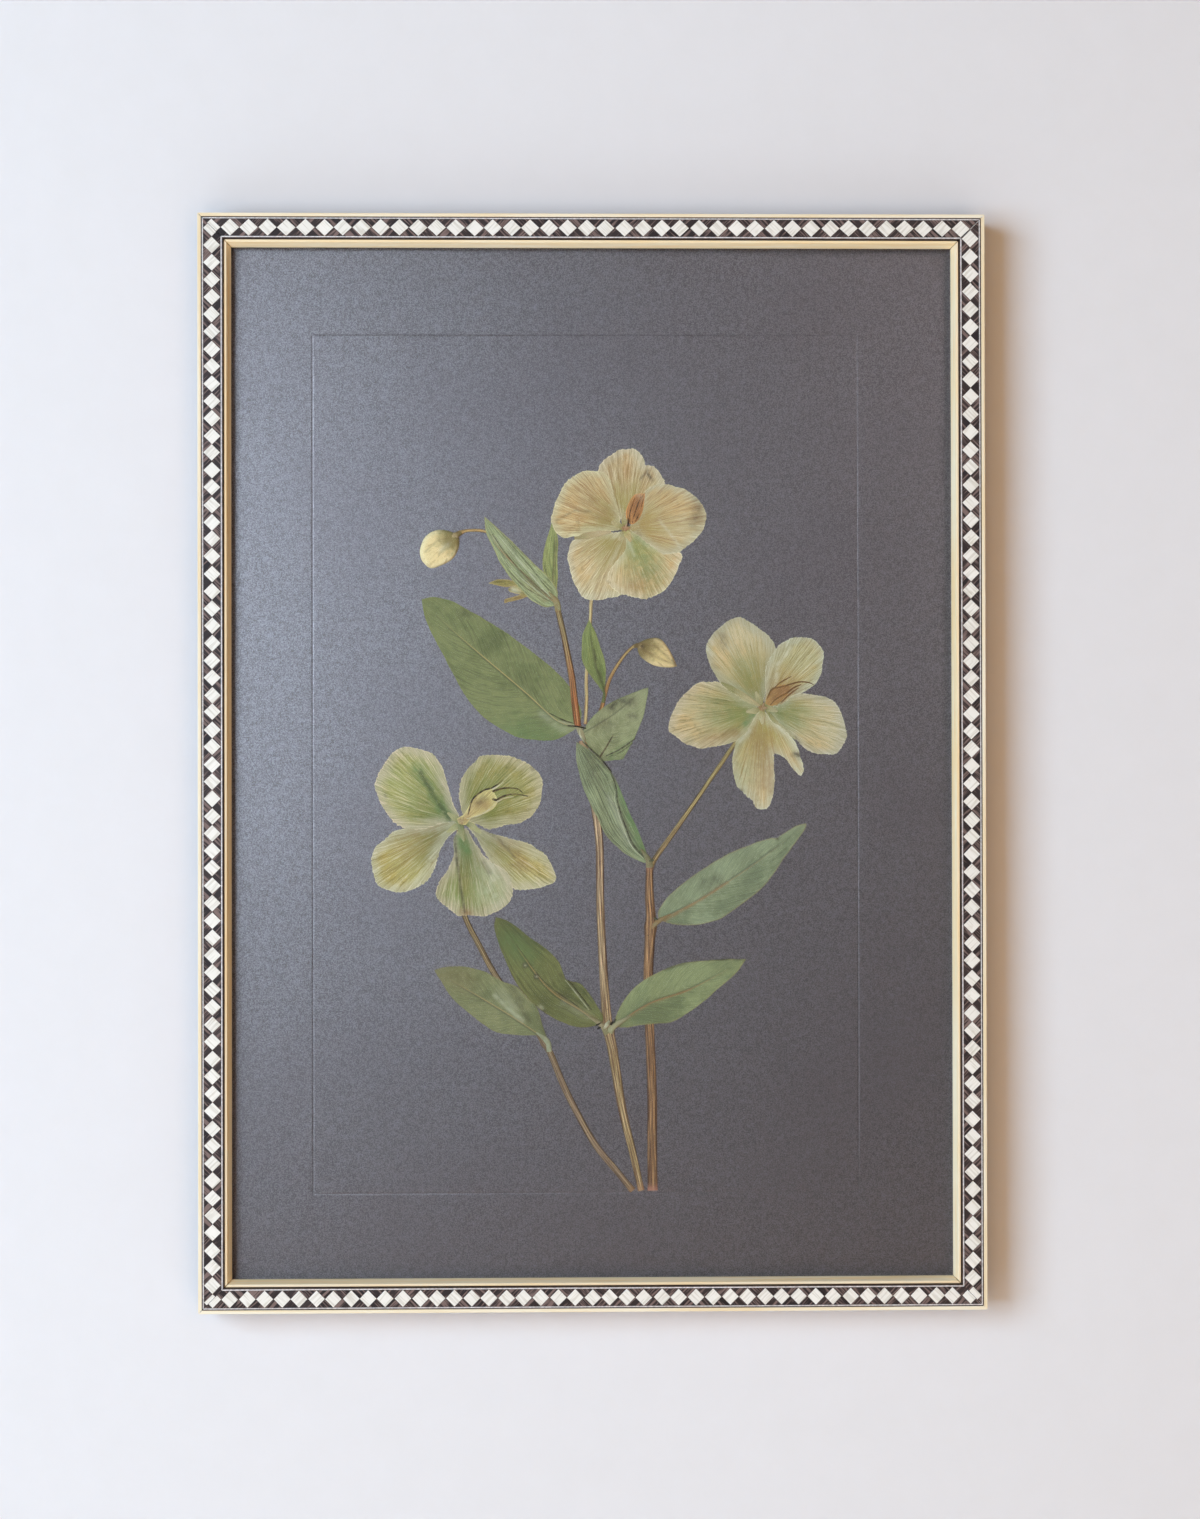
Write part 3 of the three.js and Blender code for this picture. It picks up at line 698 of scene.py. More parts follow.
def torn_edge(rim, ragged, seed):
    """The edge of a dried blade: uneven, with small nicks."""
    draw = np.random.default_rng(seed)
    rough = draw.normal(0, 1, len(rim))
    slow = sum(np.roll(rough, k) for k in range(-4, 5)) / 3
    ahead = np.roll(rim, -1, 0) - np.roll(rim, 1, 0)
    out = np.column_stack([ahead[:, 1], -ahead[:, 0]])
    out /= np.maximum(np.hypot(*out.T), 1e-6)[:, None]
    return rim + out * (ragged * (0.5 * slow + 0.5 * rough))[:, None]


def fill_outline(rim, spacing):
    """Triangles that fill an outline evenly."""
    low, high = rim.min(0), rim.max(0)
    rows = np.arange(low[1], high[1], spacing * 0.866)
    spots = []
    for i, z in enumerate(rows):
        xs = np.arange(low[0] + (i % 2) * spacing / 2, high[0], spacing)
        spots.append(np.column_stack([xs, np.full(len(xs), z)]))
    spots = np.vstack(spots)
    spots = spots[inside_of(rim, spots)]
    spots = spots[away_from(rim, spots, True) > 0.55 * spacing]
    every = np.vstack([rim, spots])
    ring = [(i, (i + 1) % len(rim)) for i in range(len(rim))]
    filled = delaunay_2d_cdt([Vector(p) for p in every], ring, [], 1, 1e-6)
    return np.array([tuple(p) for p in filled[0]]), [tuple(face) for face in filled[2]]


def read_field(field, spots):
    """What the cells hold at each spot, with no steps between cells."""
    place = (spots - GRID_LOW) / CELL
    column, row = place.astype(int).T
    right, up = (place - place.astype(int)).T
    left_side = field[row, column] * (1 - up) + field[row + 1, column] * up
    right_side = field[row, column + 1] * (1 - up) + field[row + 1, column + 1] * up
    return left_side * (1 - right) + right_side * right


def settled(field, reach):
    """What a thin blade makes of the lumps under it: it rounds steps and bridges hollows."""
    eased = field
    for axis in (0, 1):
        eased = np.maximum.reduce([np.roll(eased, k, axis) for k in range(-reach, reach + 1)])
    for axis in (0, 1, 0, 1):
        eased = sum(np.roll(eased, k, axis) for k in range(-reach, reach + 1)) / (2 * reach + 1)
    return np.maximum(eased, field)


def cells_inside(rim):
    """The rows and columns of the cells inside an outline."""
    low = ((rim.min(0) - GRID_LOW) / CELL).astype(int)
    high = ((rim.max(0) - GRID_LOW) / CELL).astype(int) + 2
    columns, rows = np.meshgrid(np.arange(low[0], high[0]), np.arange(low[1], high[1]))
    cells = np.column_stack([columns.ravel(), rows.ravel()])
    kept = cells[inside_of(rim, cells * CELL + GRID_LOW)]
    return kept[:, 1], kept[:, 0]


def ripples(spots, size, seed):
    """Soft unevenness, about from -1 to 1, with waves of the size given."""
    draw = np.random.default_rng(seed)
    total = np.zeros(len(spots))
    for _ in range(7):
        angle, phase = draw.uniform(0, 2 * math.pi, 2)
        length = size * draw.uniform(0.7, 1.8)
        wave = spots @ np.array((math.cos(angle), math.sin(angle))) * 2 * math.pi / length
        total += np.sin(wave + phase)
    return total / 3.5


def brushed(spots, strokes, kind):
    """How strongly the strokes of one kind mark each spot."""
    field = np.zeros(len(spots))
    for stroke, strength, width, line in strokes:
        if stroke == kind:
            away = away_from(np.array(line, float), spots, False)
            field = np.maximum(field, strength * np.exp(-((away / width) ** 2)))
    return field


def on_sheet(spots, heights):
    """Points in the frame, from millimetres on the sheet and heights above it."""
    x, z = (spots @ SPREAD + DROP).T
    return np.column_stack([x * MM, SHEET_FACE - heights * MM, SHEET_MIDDLE + z * MM])


def add_pressed(name, points, faces, fields, finish, slot):
    """Adds a pressed piece in place of the solid of that name."""
    mesh = bpy.data.meshes.new(name + "_pressed")
    mesh.from_pydata(points.tolist(), [], faces)
    for field, values in fields.items():
        mesh.attributes.new(field, "FLOAT", "POINT").data.foreach_set("value", values)
    mesh.materials.append(finish)
    mesh.shade_smooth()
    mesh.set_sharp_from_angle(angle=SHARP_EDGE)
    set_piece(name + "_pressed", mesh, slot, name)


def closed_shell(spots, faces, heights, thickness):
    """A front and a back, joined along the edge."""
    count = len(spots)
    points = np.vstack([on_sheet(spots, heights), on_sheet(spots, heights - thickness)])
    directed = {(face[i], face[(i + 1) % 3]) for face in faces for i in range(3)}
    shell = list(faces)
    shell += [tuple(i + count for i in face[::-1]) for face in faces]
    shell += [(b, a, a + count, b + count) for a, b in sorted(directed) if (b, a) not in directed]
    return points, shell


def strip(line, widths, thickness, knots=()):
    """A flattened stem along a line: its spots, heights, faces, and place along and across."""
    middle = smooth_line(np.array(line, float), RIB_SPACING, False)
    ahead = np.gradient(middle, axis=0)
    out = np.column_stack([ahead[:, 1], -ahead[:, 0]]) / np.hypot(*ahead.T)[:, None]
    share = np.linspace(0, 1, len(middle))
    half = np.interp(share, np.linspace(0, 1, len(widths)), widths) / 2
    for where, swelling, spread in knots:
        half = half * (1 + swelling * np.exp(-(((share - where) / spread) ** 2)))
    across = np.linspace(-1, 1, RIBS)
    profile = np.sqrt(np.clip(1 - np.abs(across) ** 2.4, 0, 1))
    profile = profile * (1 - 0.07 * np.cos(np.arange(RIBS) * math.pi))
    spots = middle[:, None, :] + out[:, None, :] * (half[:, None] * across)[:, :, None]
    lying = read_field(settled(relief, 2), middle)
    heights = lying[:, None] + GLUE + thickness * profile
    rings = [list(range(RIBS * i, RIBS * i + RIBS)) for i in range(len(middle))]
    faces = []
    for low, high in zip(rings, rings[1:]):
        faces += ring_sides(low, high)
    faces += [tuple(rings[0][::-1]), tuple(rings[-1])]
    fields = {
        "along": np.repeat(share, RIBS),
        "across": np.tile(across, len(middle)),
        "reach": np.repeat(share * np.hypot(*np.diff(middle, axis=0).T).sum(), RIBS),
    }
    return spots.reshape(-1, 2), heights.ravel(), faces, fields


def with_extras(points, shell, fields, extras):
    """Adds thin strips to a blade. Each is a line, its widths, its thickness and its marks."""
    for line, widths, thickness, marks in extras:
        spots, heights, faces, more = strip(line, widths, thickness)
        shell = shell + [tuple(i + len(points) for i in face) for face in faces]
        points = np.vstack([points, on_sheet(spots, heights)])
        for field, values in fields.items():
            if field not in more:
                plain = FAR_IN if field in ("rim", "middle") else 0.0
                more[field] = np.full(len(spots), marks.get(field, plain))
            fields[field] = np.concatenate([values, more[field]])
    return points, shell, fields


def press(name, rim, spots, faces, shape, fields, strokes, finish, slot, extras):
    """Lays a blade on what is there already, and records it for those that come later."""
    under = settled(relief, 3)
    heights = read_field(under, spots) + GLUE + BLADE + shape
    fields["under"] = read_field(settled(cover, 1), spots)
    for kind in MARKS:
        fields[kind] = brushed(spots, strokes, kind)
    points, shell = closed_shell(spots, faces, heights, BLADE)
    both = {field: np.tile(values, 2) for field, values in fields.items()}
    rows, columns = cells_inside(rim)
    relief[rows, columns] = under[rows, columns] + GLUE + BLADE
    cover[rows, columns] = 1.0
    points, shell, both = with_extras(points, shell, both, extras)
    add_pressed(name, points, shell, both, finish, slot)


def press_leaf(name, rib_line, tones, rib, strokes, extras, seed):
    """A leaf: its two edges and its rib run from its base to its tip."""
    rim = torn_edge(smooth_line(outline_of(name), SPACING, True), 0.09, seed)
    spots, faces = fill_outline(rim, SPACING)
    rib_line = smooth_line(np.array(rib_line, float), 2.0, False)
    first = int(np.argmin(np.hypot(*(rim - rib_line[0]).T)))
    rim = np.roll(rim, -first, 0)
    last = int(np.argmin(np.hypot(*(rim - rib_line[-1]).T)))
    one = away_from(rim[: last + 1], spots, False)
    other = away_from(np.vstack([rim[last:], rim[:1]]), spots, False)
    from_base = np.hypot(*(spots - rim[0]).T)
    from_tip = np.hypot(*(spots - rim[last]).T)
    fields = {
        "along": from_base / (from_base + from_tip),
        "across": (one - other) / np.maximum(one + other, 1e-6),
        "middle": side_of(rib_line, spots),
        "rim": np.minimum(one, other),
    }
    fold = np.exp(-((fields["middle"] / 0.5) ** 2)) * np.clip(1.1 - fields["along"], 0, 1)
    curl = np.clip(1 - fields["rim"] / 2.5, 0, 1) ** 2 * (0.6 + 0.6 * ripples(spots, 9, seed))
    shape = 0.15 * fold + 0.045 * ripples(spots, 7, seed + 1) + 0.1 * np.clip(curl, 0, 1)
    shape += 0.03 * np.sin(fields["along"] * 60 - np.abs(fields["across"]) * 16)
    finish = leaf_finish(name, *tones, rib, seed)
    press(name, rim, spots, faces, np.maximum(shape, 0), fields, strokes, finish, "leaf", extras)


def marked(wire, colour, mottle):
    """A blade's colour with its stains, green and bleached places, and rusty lines."""
    stain, verdure, bleach, rust = fields_of(wire, *MARKS)
    patchy = ease(mottle, 0.3, 0.62)
    colour = mix(colour, tone(108, 134, 78), verdure * (0.4 + patchy * 0.4))
    colour = mix(colour, tone(228, 220, 186), bleach * (0.25 + patchy * 0.4))
    colour = mix(colour, tone(160, 118, 74), rust * (0.4 + patchy * 0.45))
    return mix(colour, tone(60, 48, 38), stain * (0.35 + patchy * 0.55))


def leaf_finish(name, body, second, edge, rib_colour, rib, seed):
    """A dry leaf: mottled green, with fine leaning veins, a rib and a pale edge."""
    material, wire, place = start_finish(name + "_green")
    along, across, middle, rim = fields_of(wire, "along", "across", "middle", "rim")
    mottle = cloud(place, 420.0, 5.0, 0.62)
    patches = cloud(place, 75.0, 3.0)
    if name in LENGTHWISE:
        broad, narrow, run = across * 9.0, across * 34.0, along * 2.0
    else:
        lean = along * 30.0 - abs(across) * 9.0
        broad, narrow, run = lean * 2.6, lean * 8.0 + across * 9.0, across * 1.6
    veins = cloud(spot(broad, run, float(seed)), 1.0, 2.0, 0.5)
    fibres = cloud(spot(narrow, run * 3.5, seed + 0.5), 1.0, 4.0, 0.65)
    light, deep = shade_of(body, 1.1), shade_of(body, 0.75)
    colour = mix(light, tone(*second), ease(patches * 0.6 + mottle * 0.4, 0.38, 0.62))
    colour = mix(colour, deep, ease(patches * 0.8 + veins * 0.2, 0.46, 0.66) * 0.45)
    colour = mix(colour, light, ease(across, -0.25, 0.4) * 0.45)
    lines = LENGTHWISE.get(name, FEATHERED)
    colour = mix(colour, shade_of(body, 0.64), ease(veins, 0.5, 0.62) * (0.7 * lines))
    colour = mix(colour, shade_of(second, 0.66), ease(fibres, 0.5, 0.63) * lines)
    colour = mix(colour, shade_of(body, 1.28), (1 - ease(fibres, 0.36, 0.49)) * lines)
    colour = mix(colour, tone(*edge), (1 - ease(rim + mottle * 0.8, 0.3, 1.1)) * 0.6)
    shaded = (1 - ease(abs(middle - 0.5) + mottle * 0.3, 0.2, 0.75)) * (1 - ease(along, 0.6, 1.0))
    colour = mix(colour, shade_of(body, 0.66), shaded * 0.55)
    ribbed = (1 - ease(abs(middle) + mottle * 0.2, 0.16, 0.4)) * (1 - ease(along, 0.5, 0.95))
    colour = mix(colour, tone(*rib_colour), ribbed * rib)
    colour = marked(wire, colour, mottle)
    bump = fibres * 0.45 + veins * 0.4 + mottle * 0.15
    close_finish(wire, colour, 0.8 - fibres * 0.16, bump, 0.00022)
    return material


# Each leaf: its rib from base to tip, its body, second, edge and rib colours, how strongly the rib
# shows, its marks and the strips on it. A mark is its kind, strength, width and line.
LOWER_LEAVES = {
    "big_leaf": (
        [(-5, 14.5), (-13.6, 16.9), (-26.4, 28.3), (-45.4, 44.4), (-57.3, 54.9), (-67.5, 65)],
        ((127, 127, 81), (117, 121, 73), (143, 142, 66), (193, 165, 107)), 0.85,
        [("stain", 0.5, 1.8, [(-51.5, 60), (-50, 59.5)]),
         ("verdure", 0.55, 8, [(-28.5, 11), (-16.5, 8.5)]),
         ("bleach", 0.35, 1.6, [(-20, 19.5), (-12, 13.5), (-7, 13)])],
        [([(-3.5, 13.6), (-6.5, 14.8), (-13.5, 17)], [1.8, 1.3, 0.5], 0.3,
          {"bleach": 0.6, "rust": 0.2}),
         ([(-5.5, 15.2), (-11, 17), (-17, 20)], [0.5, 0.6, 0.3], 0.2, {"stain": 0.9})],
    ),
    "narrow_bract": (
        [(-14, 65.5), (-15, 73), (-14.3, 88), (-15.5, 96.5)],
        ((152, 151, 92), (133, 139, 78), (173, 161, 96), (181, 159, 106)), 0.5,
        [("stain", 0.5, 0.4, [(-14, 88.5), (-15.5, 69)])], [],
    ),
    "right_leaf": (
        [(27, -62.5), (43, -54.5), (54, -47.5), (70, -36.5), (85.5, -24)],
        ((141, 145, 109), (131, 137, 97), (155, 134, 90), (174, 118, 75)), 0.35,
        [("rust", 0.85, 0.6, [(29, -62.5), (43, -54.5), (54, -47.5)]),
         ("stain", 0.5, 2.6, [(45, -48), (49.5, -46.5)]),
         ("stain", 0.95, 0.8, [(73.5, -29), (74, -30)]),
         ("stain", 0.45, 0.35, [(67, -37.5), (77, -31.5), (84, -25)]),
         ("stain", 0.4, 0.35, [(71, -39.5), (79, -32.5)])],
        [([(23.6, -65.5), (26.3, -63), (31.5, -60)], [2.6, 1.9, 0.6], 0.45, {"rust": 0.9}),
         ([(24.6, -61.5), (26.4, -62.3)], [0.6, 0.9, 0.5], 0.5, {"stain": 0.9})],
    ),
    "side_shoot": (
        [(-23.5, 67), (-32, 69.5), (-41, 71.5)],
        ((167, 147, 84), (149, 134, 71), (205, 170, 112), (228, 173, 120)), 0.2,
        [("bleach", 0.9, 1.2, [(-31, 69), (-29, 68.5)]),
         ("rust", 0.7, 1.1, [(-34.5, 64.5), (-27, 66)])], [],
    ),
}
for seed, (name, leaf) in enumerate(LOWER_LEAVES.items(), 11):
    press_leaf(name, *leaf, seed)

# Stems and stalks: dried, flattened and ribbed along their length, cut square at the foot and
# forked at swollen knots. They are glued to the paper, and one crosses the foot of the big leaf.


def lay_stem(name, line, widths, thickness, colours, knots):
    """Lays a stem on what is there already, and records it for the blades that cross it."""
    spots, heights, faces, fields = strip(line, widths, thickness, knots=knots)
    column, row = np.round((spots - GRID_LOW) / CELL).astype(int).T
    np.maximum.at(relief, (row, column), heights)
    for kind in MARKS:
        fields[kind] = np.zeros(len(spots))
    points = on_sheet(spots, heights)
    add_pressed(name, points, faces, fields, stem_finish(name, *colours), "stem")


def stem_finish(name, foot, top, stripe, knot):
    """Dry stem: tan, with darker stripes along it and specks, and darker still at the knots."""
    material, wire, place = start_finish(name + "_fibre")
    along, across, reach = fields_of(wire, "along", "across", "reach")
    lines = cloud(spot(across * 3.2, reach * 0.05), 1.0, 4.0, 0.6)
    specks = cloud(place, 1500.0, 3.0, 0.6)
    drift = cloud(spot(across * 0.5, reach * 0.05, 4.0), 1.0, 2.0)
    colour = mix(tone(*foot), tone(*top), ease(along + (drift - 0.5) * 0.5, 0.1, 0.9))
    colour = mix(colour, shade_of(stripe, 0.9), ease(lines, 0.46, 0.58) * 0.95)
    colour = mix(colour, shade_of(top, 1.3), (1 - ease(lines, 0.36, 0.47)) * 0.85)
    # Painted shade: the stem darkens towards both its rounded edges.
    colour = mix(colour, shade_of(stripe, 0.62), ease(abs(across), 0.55, 1.0) * 0.75)
    colour = mix(colour, shade_of(stripe, 0.55), ease(specks, 0.6, 0.7) * 0.6)
    ends = (1 - ease(along, 0.0, 0.025)) + ease(along, 0.965, 1.0)
    colour = mix(colour, tone(*knot), ends * 0.75)
    colour = marked(wire, colour, specks)
    close_finish(wire, colour, 0.72 - lines * 0.1, lines * 0.7 + specks * 0.3, 0.00025)
    return material


# Each stem: its line from the foot up, its widths, thickness, foot, top, stripe and knot colours,
# and its knots: where along it, how much they swell and how far.
STEMS = {
    "left_stem": (
        [(16.3, -169.7), (10, -162), (0.5, -150), (-10, -130.5), (-17.5, -113), (-26.5, -100),
         (-37, -86), (-44.5, -72.5), (-50.5, -60), (-52.5, -46.5), (-53.5, -34.5), (-52.5, -26)],
        [2.6, 2.7, 2.5, 2.2, 1.9], 0.45,
        ((153, 125, 97), (148, 125, 84), (112, 83, 57), (153, 114, 75)), [(0.42, 0.35, 0.012)],
    ),
    "middle_stem": (
        [(19.7, -169.7), (16.5, -155.5), (12, -136.5), (8.5, -115), (6.5, -104.5), (5, -88),
         (3.5, -58.5), (3, -30.5), (0, -10.5), (-3.5, 9)], [2.6, 3.3, 4.1, 3.4, 3.2, 3.2, 3.2],
        0.45, ((164, 138, 90), (185, 154, 117), (127, 89, 60), (173, 130, 93)),
        [(0.365, 0.3, 0.012)],
    ),
    "upper_stem": (
        [(-5.5, 14.5), (-7, 26.5), (-8, 35), (-11, 50.5), (-13.5, 61.5)], [2.9, 2.2], 0.5,
        ((194, 114, 63), (157, 135, 91), (117, 77, 44), (163, 86, 51)), [],
    ),
    "right_stem": (
        [(24.2, -169.7), (24, -150.5), (24, -131.5), (23, -104.5), (22.5, -86), (23, -72.5),
         (23.5, -62), (23, -52.5), (23, -39.5)], [4, 3.9, 3.8, 3.8, 4.2, 2.8], 0.42,
        ((142, 106, 70), (161, 121, 81), (104, 68, 43), (186, 127, 103)), [(0.8, 0.2, 0.02)],
    ),
    "top_flower_stalk": (
        [(-2.5, 15.5), (-2, 25), (-2, 35.5), (-0.5, 57), (0, 65), (2.5, 73), (8, 84), (12, 90)],
        [1.4], 0.5, ((221, 186, 126), (224, 196, 142), (182, 145, 93), (182, 131, 85)), [],
    ),
    "right_flower_stalk": (
        [(23.4, -42), (25.5, -37.5), (35.5, -23.5), (57.5, 8.5), (63.5, 17.5), (66, 20.5)],
        [2.1, 1.8, 1.6], 0.5, ((163, 130, 88), (184, 163, 102), (120, 97, 60), (137, 94, 71)), [],
    ),
    "left_bud_stalk": (
        [(-17, 68), (-28.5, 80), (-36.5, 88.5), (-42, 92), (-48.5, 92.5), (-52, 91.6), (-54, 90.6)],
        [1.2], 0.5, ((230, 206, 133), (213, 167, 106), (171, 136, 86), (114, 93, 64)),
        [(0.97, 0.7, 0.04)],
    ),
    "right_bud_stalk": (
        [(-0.5, 14.5), (3.5, 20.5), (5.5, 28), (7.5, 34), (11, 40), (14.5, 44.5), (17, 46.5),
         (19, 46.9)], [1.7, 1.4, 1.1], 0.5,
        ((200, 133, 77), (189, 160, 103), (149, 103, 58), (93, 67, 46)), [(0.97, 0.6, 0.04)],
    ),
}
for name, stem in STEMS.items():
    lay_stem(name, *stem)

# Leaves over the stems: pressed across the stems, whose lines show through them. Some are folded at
# an edge, torn or spotted, as they dried.
UPPER_LEAVES = {
    "broad_bract": (
        [(-14, 63), (-24.5, 73), (-37.5, 86.5), (-42.5, 98)],
        ((159, 160, 115), (150, 152, 98), (182, 162, 93), (182, 110, 67)), 0.6,
        [("bleach", 0.35, 1, [(-38.5, 89.5), (-28.5, 80), (-20.5, 73)]),
         ("bleach", 0.3, 0.9, [(-34.5, 88.5), (-20.5, 71)]),
         ("rust", 0.4, 1.6, [(-25.5, 72), (-18.5, 65.5)])],
        [([(-39.5, 91), (-33.5, 82.5), (-24.8, 73), (-15, 64.6)], [0.2, 0.4, 0.6, 0.7], 0.12,
          {"stain": 0.7, "rust": 0.6}),
         ([(-37.5, 91), (-28, 79.5), (-19, 69), (-15, 65)], [0.2, 0.5, 0.5, 0.4], 0.12,
          {"bleach": 0.9}),
         ([(-36, 82.5), (-28.5, 74), (-17, 65)], [0.2, 0.45, 0.4], 0.1, {"bleach": 0.7}),
         ([(-33.5, 77), (-26.5, 70), (-17, 64.4)], [0.2, 0.4, 0.4], 0.1,
          {"stain": 0.6, "rust": 0.4}),
         ([(-36, 91.5), (-26, 80), (-17, 68.5)], [0.2, 0.4, 0.3], 0.1, {"stain": 0.6}),
         ([(-13.3, 60.5), (-14, 64), (-17, 68)], [2.5, 2.5, 0.5], 0.4, {"rust": 0.75})],
    ),
    "small_leaf": (
        [(5, 27.5), (2, 38), (1, 45), (-1, 57)],
        ((133, 137, 80), (118, 127, 65), (150, 144, 83), (87, 88, 47)), 0.6,
        [("stain", 0.8, 0.45, [(1, 45), (2, 38), (5.5, 29)])],
        [([(4.5, 24), (5, 27.5), (4, 32)], [1.3, 1, 0.4], 0.3, {"stain": 0.55})],
    ),
    "hanging_leaf": (
        [(23, -39), (14.5, -25.5), (10.5, -18.5), (3.5, -8.5), (-6, 8.5)],
        ((139, 141, 103), (127, 131, 91), (146, 139, 95), (153, 149, 112)), 0.55,
        [("verdure", 0.9, 2.2, [(11.5, -10.5), (15, -20), (18.5, -29), (21, -35.5)]),
         ("stain", 0.5, 0.8, [(8.5, -6), (10.5, -16.5), (16, -31.5), (21.5, -37.5)]),
         ("stain", 0.35, 2, [(-1, 2), (2, -1), (-2, -8)]),
         ("bleach", 0.3, 1.6, [(7.5, -14.5), (14.5, -31.5)])],
        [([(23, -41.5), (22.6, -38.6), (19.5, -34)], [2.8, 2.2, 0.5], 0.4,
          {"rust": 0.5, "stain": 0.25}),
         ([(22.8, -38.9), (24.8, -38.6)], [0.7, 1.1, 0.6], 0.6, {"stain": 0.9}),
         ([(7.5, -3.5), (9.8, -10), (10.6, -16.5), (16, -31.5), (21.6, -38)], [0.3, 0.55, 0.6, 0.5],
          0.12, {"stain": 1}),
         ([(9.2, -11), (9.8, -17), (15, -31.5), (20.6, -38)], [0.2, 0.5, 0.4, 0.3], 0.1,
          {"bleach": 0.9})],
    ),
    "left_stem_leaf": (
        [(-17.5, -110), (-30, -101.5), (-43, -93.5), (-62.5, -82)],
        ((132, 129, 88), (119, 121, 76), (146, 135, 87), (175, 145, 95)), 0.75,
        [("bleach", 0.55, 0.9, [(-38.5, -92), (-34, -96.5), (-27.5, -102)]),
         ("bleach", 0.3, 2.2, [(-36, -91.5), (-31, -97.5)]),
         ("stain", 0.4, 1.4, [(-29.5, -95), (-25, -101.5)]),
         ("rust", 0.22, 6, [(-60, -83), (-50.5, -85.5)]),
         ("stain", 0.15, 6, [(-60, -83), (-52, -86)]),
         ("stain", 0.45, 1.6, [(-31, -90), (-28.5, -94)])],
        [([(-16.8, -114.5), (-17.6, -110.4), (-22, -106.8)], [2, 2.2, 0.5], 0.35,
          {"bleach": 0.55, "verdure": 0.2})],
    ),
    "lower_right_leaf": (
        [(8.5, -104.5), (23, -95.5), (39, -90), (61.5, -78)],
        ((137, 140, 95), (121, 127, 82), (156, 143, 91), (165, 101, 64)), 0.6,
        [("rust", 0.5, 0.6, [(10, -104), (23, -95.5), (39, -90)]),
         ("stain", 0.75, 0.6, [(29, -82), (43, -78), (59, -78)])],
        [([(7, -107), (9, -104.3), (15.5, -100.4)], [2.8, 2.2, 0.5], 0.45,
          {"rust": 0.35, "bleach": 0.5}),
         ([(8.6, -103.4), (9.6, -101.6)], [0.5, 0.8, 0.4], 0.7, {"stain": 1})],
    ),
    "dark_leaf": (
        [(3.5, -103.5), (-4.5, -98), (-18.5, -88), (-38, -61)],
        ((111, 109, 63), (96, 97, 52), (126, 114, 64), (214, 156, 101)), 0.35,
        [("rust", 0.35, 0.5, [(-16.5, -89.5), (-4.5, -98), (2.5, -101.5)]),
         ("bleach", 1, 0.5, [(-26.5, -80.2), (-26.2, -80.2)]),
         ("bleach", 1, 0.5, [(-22, -84.7), (-21.7, -84.7)]),
         ("stain", 0.9, 0.45,
          [(-27, -79.6), (-25.7, -79.6), (-25.5, -80.8), (-26.8, -81.1), (-27.2, -80.2)]),
         ("stain", 0.9, 0.45,
          [(-22.4, -84), (-21.2, -84.2), (-21.1, -85.3), (-22.3, -85.5), (-22.6, -84.6)]),
         ("bleach", 0.9, 0.9, [(-20.5, -97), (-20, -97.3)]),
         ("stain", 0.9, 0.8, [(-21.5, -98.5), (-19, -98.5)]),
         ("stain", 0.6, 0.8, [(-12.5, -84), (-6.5, -88)]),
         ("verdure", 0.5, 5, [(-33, -70), (-26, -76)]),
         ("bleach", 0.2, 2, [(-1.5, -100.5), (-11, -95.5)])],
        [([(-10.5, -86), (-6, -91.5), (-1, -98)], [0.2, 0.6, 0.3], 0.12, {"bleach": 0.8}),
         ([(-9.4, -86), (-5, -91.5), (0, -98)], [0.2, 0.6, 0.3], 0.12, {"stain": 1}),
         ([(-30, -72), (-19, -86.5), (-5, -97)], [0.2, 0.4, 0.4], 0.1, {"stain": 0.8}),
         ([(6.4, -107.5), (4, -104), (-2, -100)], [2.6, 2, 0.5], 0.45,
          {"rust": 0.4, "bleach": 0.4}),
         ([(1.6, -104.2), (3.8, -103)], [0.5, 0.8, 0.4], 0.7, {"stain": 0.95}),
         ([(4.8, -105.4), (6.4, -103.4), (7, -102.2)], [1, 1.8, 0.8], 0.6,
          {"bleach": 1.1, "rust": 0.2}),
         ([(7.6, -104), (8.4, -102.6)], [0.8, 1.1, 0.6], 0.7, {"stain": 1.5}),
         ([(2.2, -105.6), (3.6, -104.8)], [0.6, 0.9, 0.5], 0.6, {"stain": 1.2})],
    ),
    "pale_leaf": (
        [(-4, 11), (9, 19), (22.5, 30)],
        ((152, 149, 107), (139, 140, 93), (141, 146, 93), (168, 154, 113)), 0.2,
        [("stain", 0.85, 2, [(8, 22.5), (12, 25), (16, 24.5)]),
         ("stain", 0.55, 1.2, [(15.5, 19), (17.5, 18.5)]),
         ("stain", 0.35, 2.5, [(3.5, 16.5), (8, 14.5)]),
         ("verdure", 0.6, 1.8, [(8, 2.5), (16, 8)])],
        [([(-5.2, 14.6), (-4.4, 12.4), (-2.6, 9)], [2.2, 2.4, 0.8], 0.4,
          {"bleach": 0.35, "rust": 0.5}),
         ([(-4.8, 13), (-4.4, 10.8), (-2.8, 8.2)], [0.4, 0.8, 0.3], 0.5, {"bleach": 1.4}),
         ([(-9.5, 14.9), (-6, 14.6), (-2.2, 13.8)], [0.4, 0.7, 0.5], 0.6, {"stain": 1.2}),
         ([(-3.6, 8.6), (3, 2.4), (8, -3.5)], [0.5, 0.7, 0.5], 0.3, {"stain": 1}),
         ([(3.2, 2.4), (5.8, 6.4), (8.6, 11.2)], [0.7, 0.6, 0.35], 0.12,
          {"stain": 0.9, "rust": 0.6}),
         ([(5.6, 2.8), (11.5, 5.6), (17.2, 9.7)], [0.3, 0.7, 0.5], 0.12, {"stain": 1.1}),
         ([(6.6, 2.4), (11.5, 4.4), (16.4, 8)], [0.2, 0.5, 0.3], 0.12, {"stain": 0.8})],
    ),
}
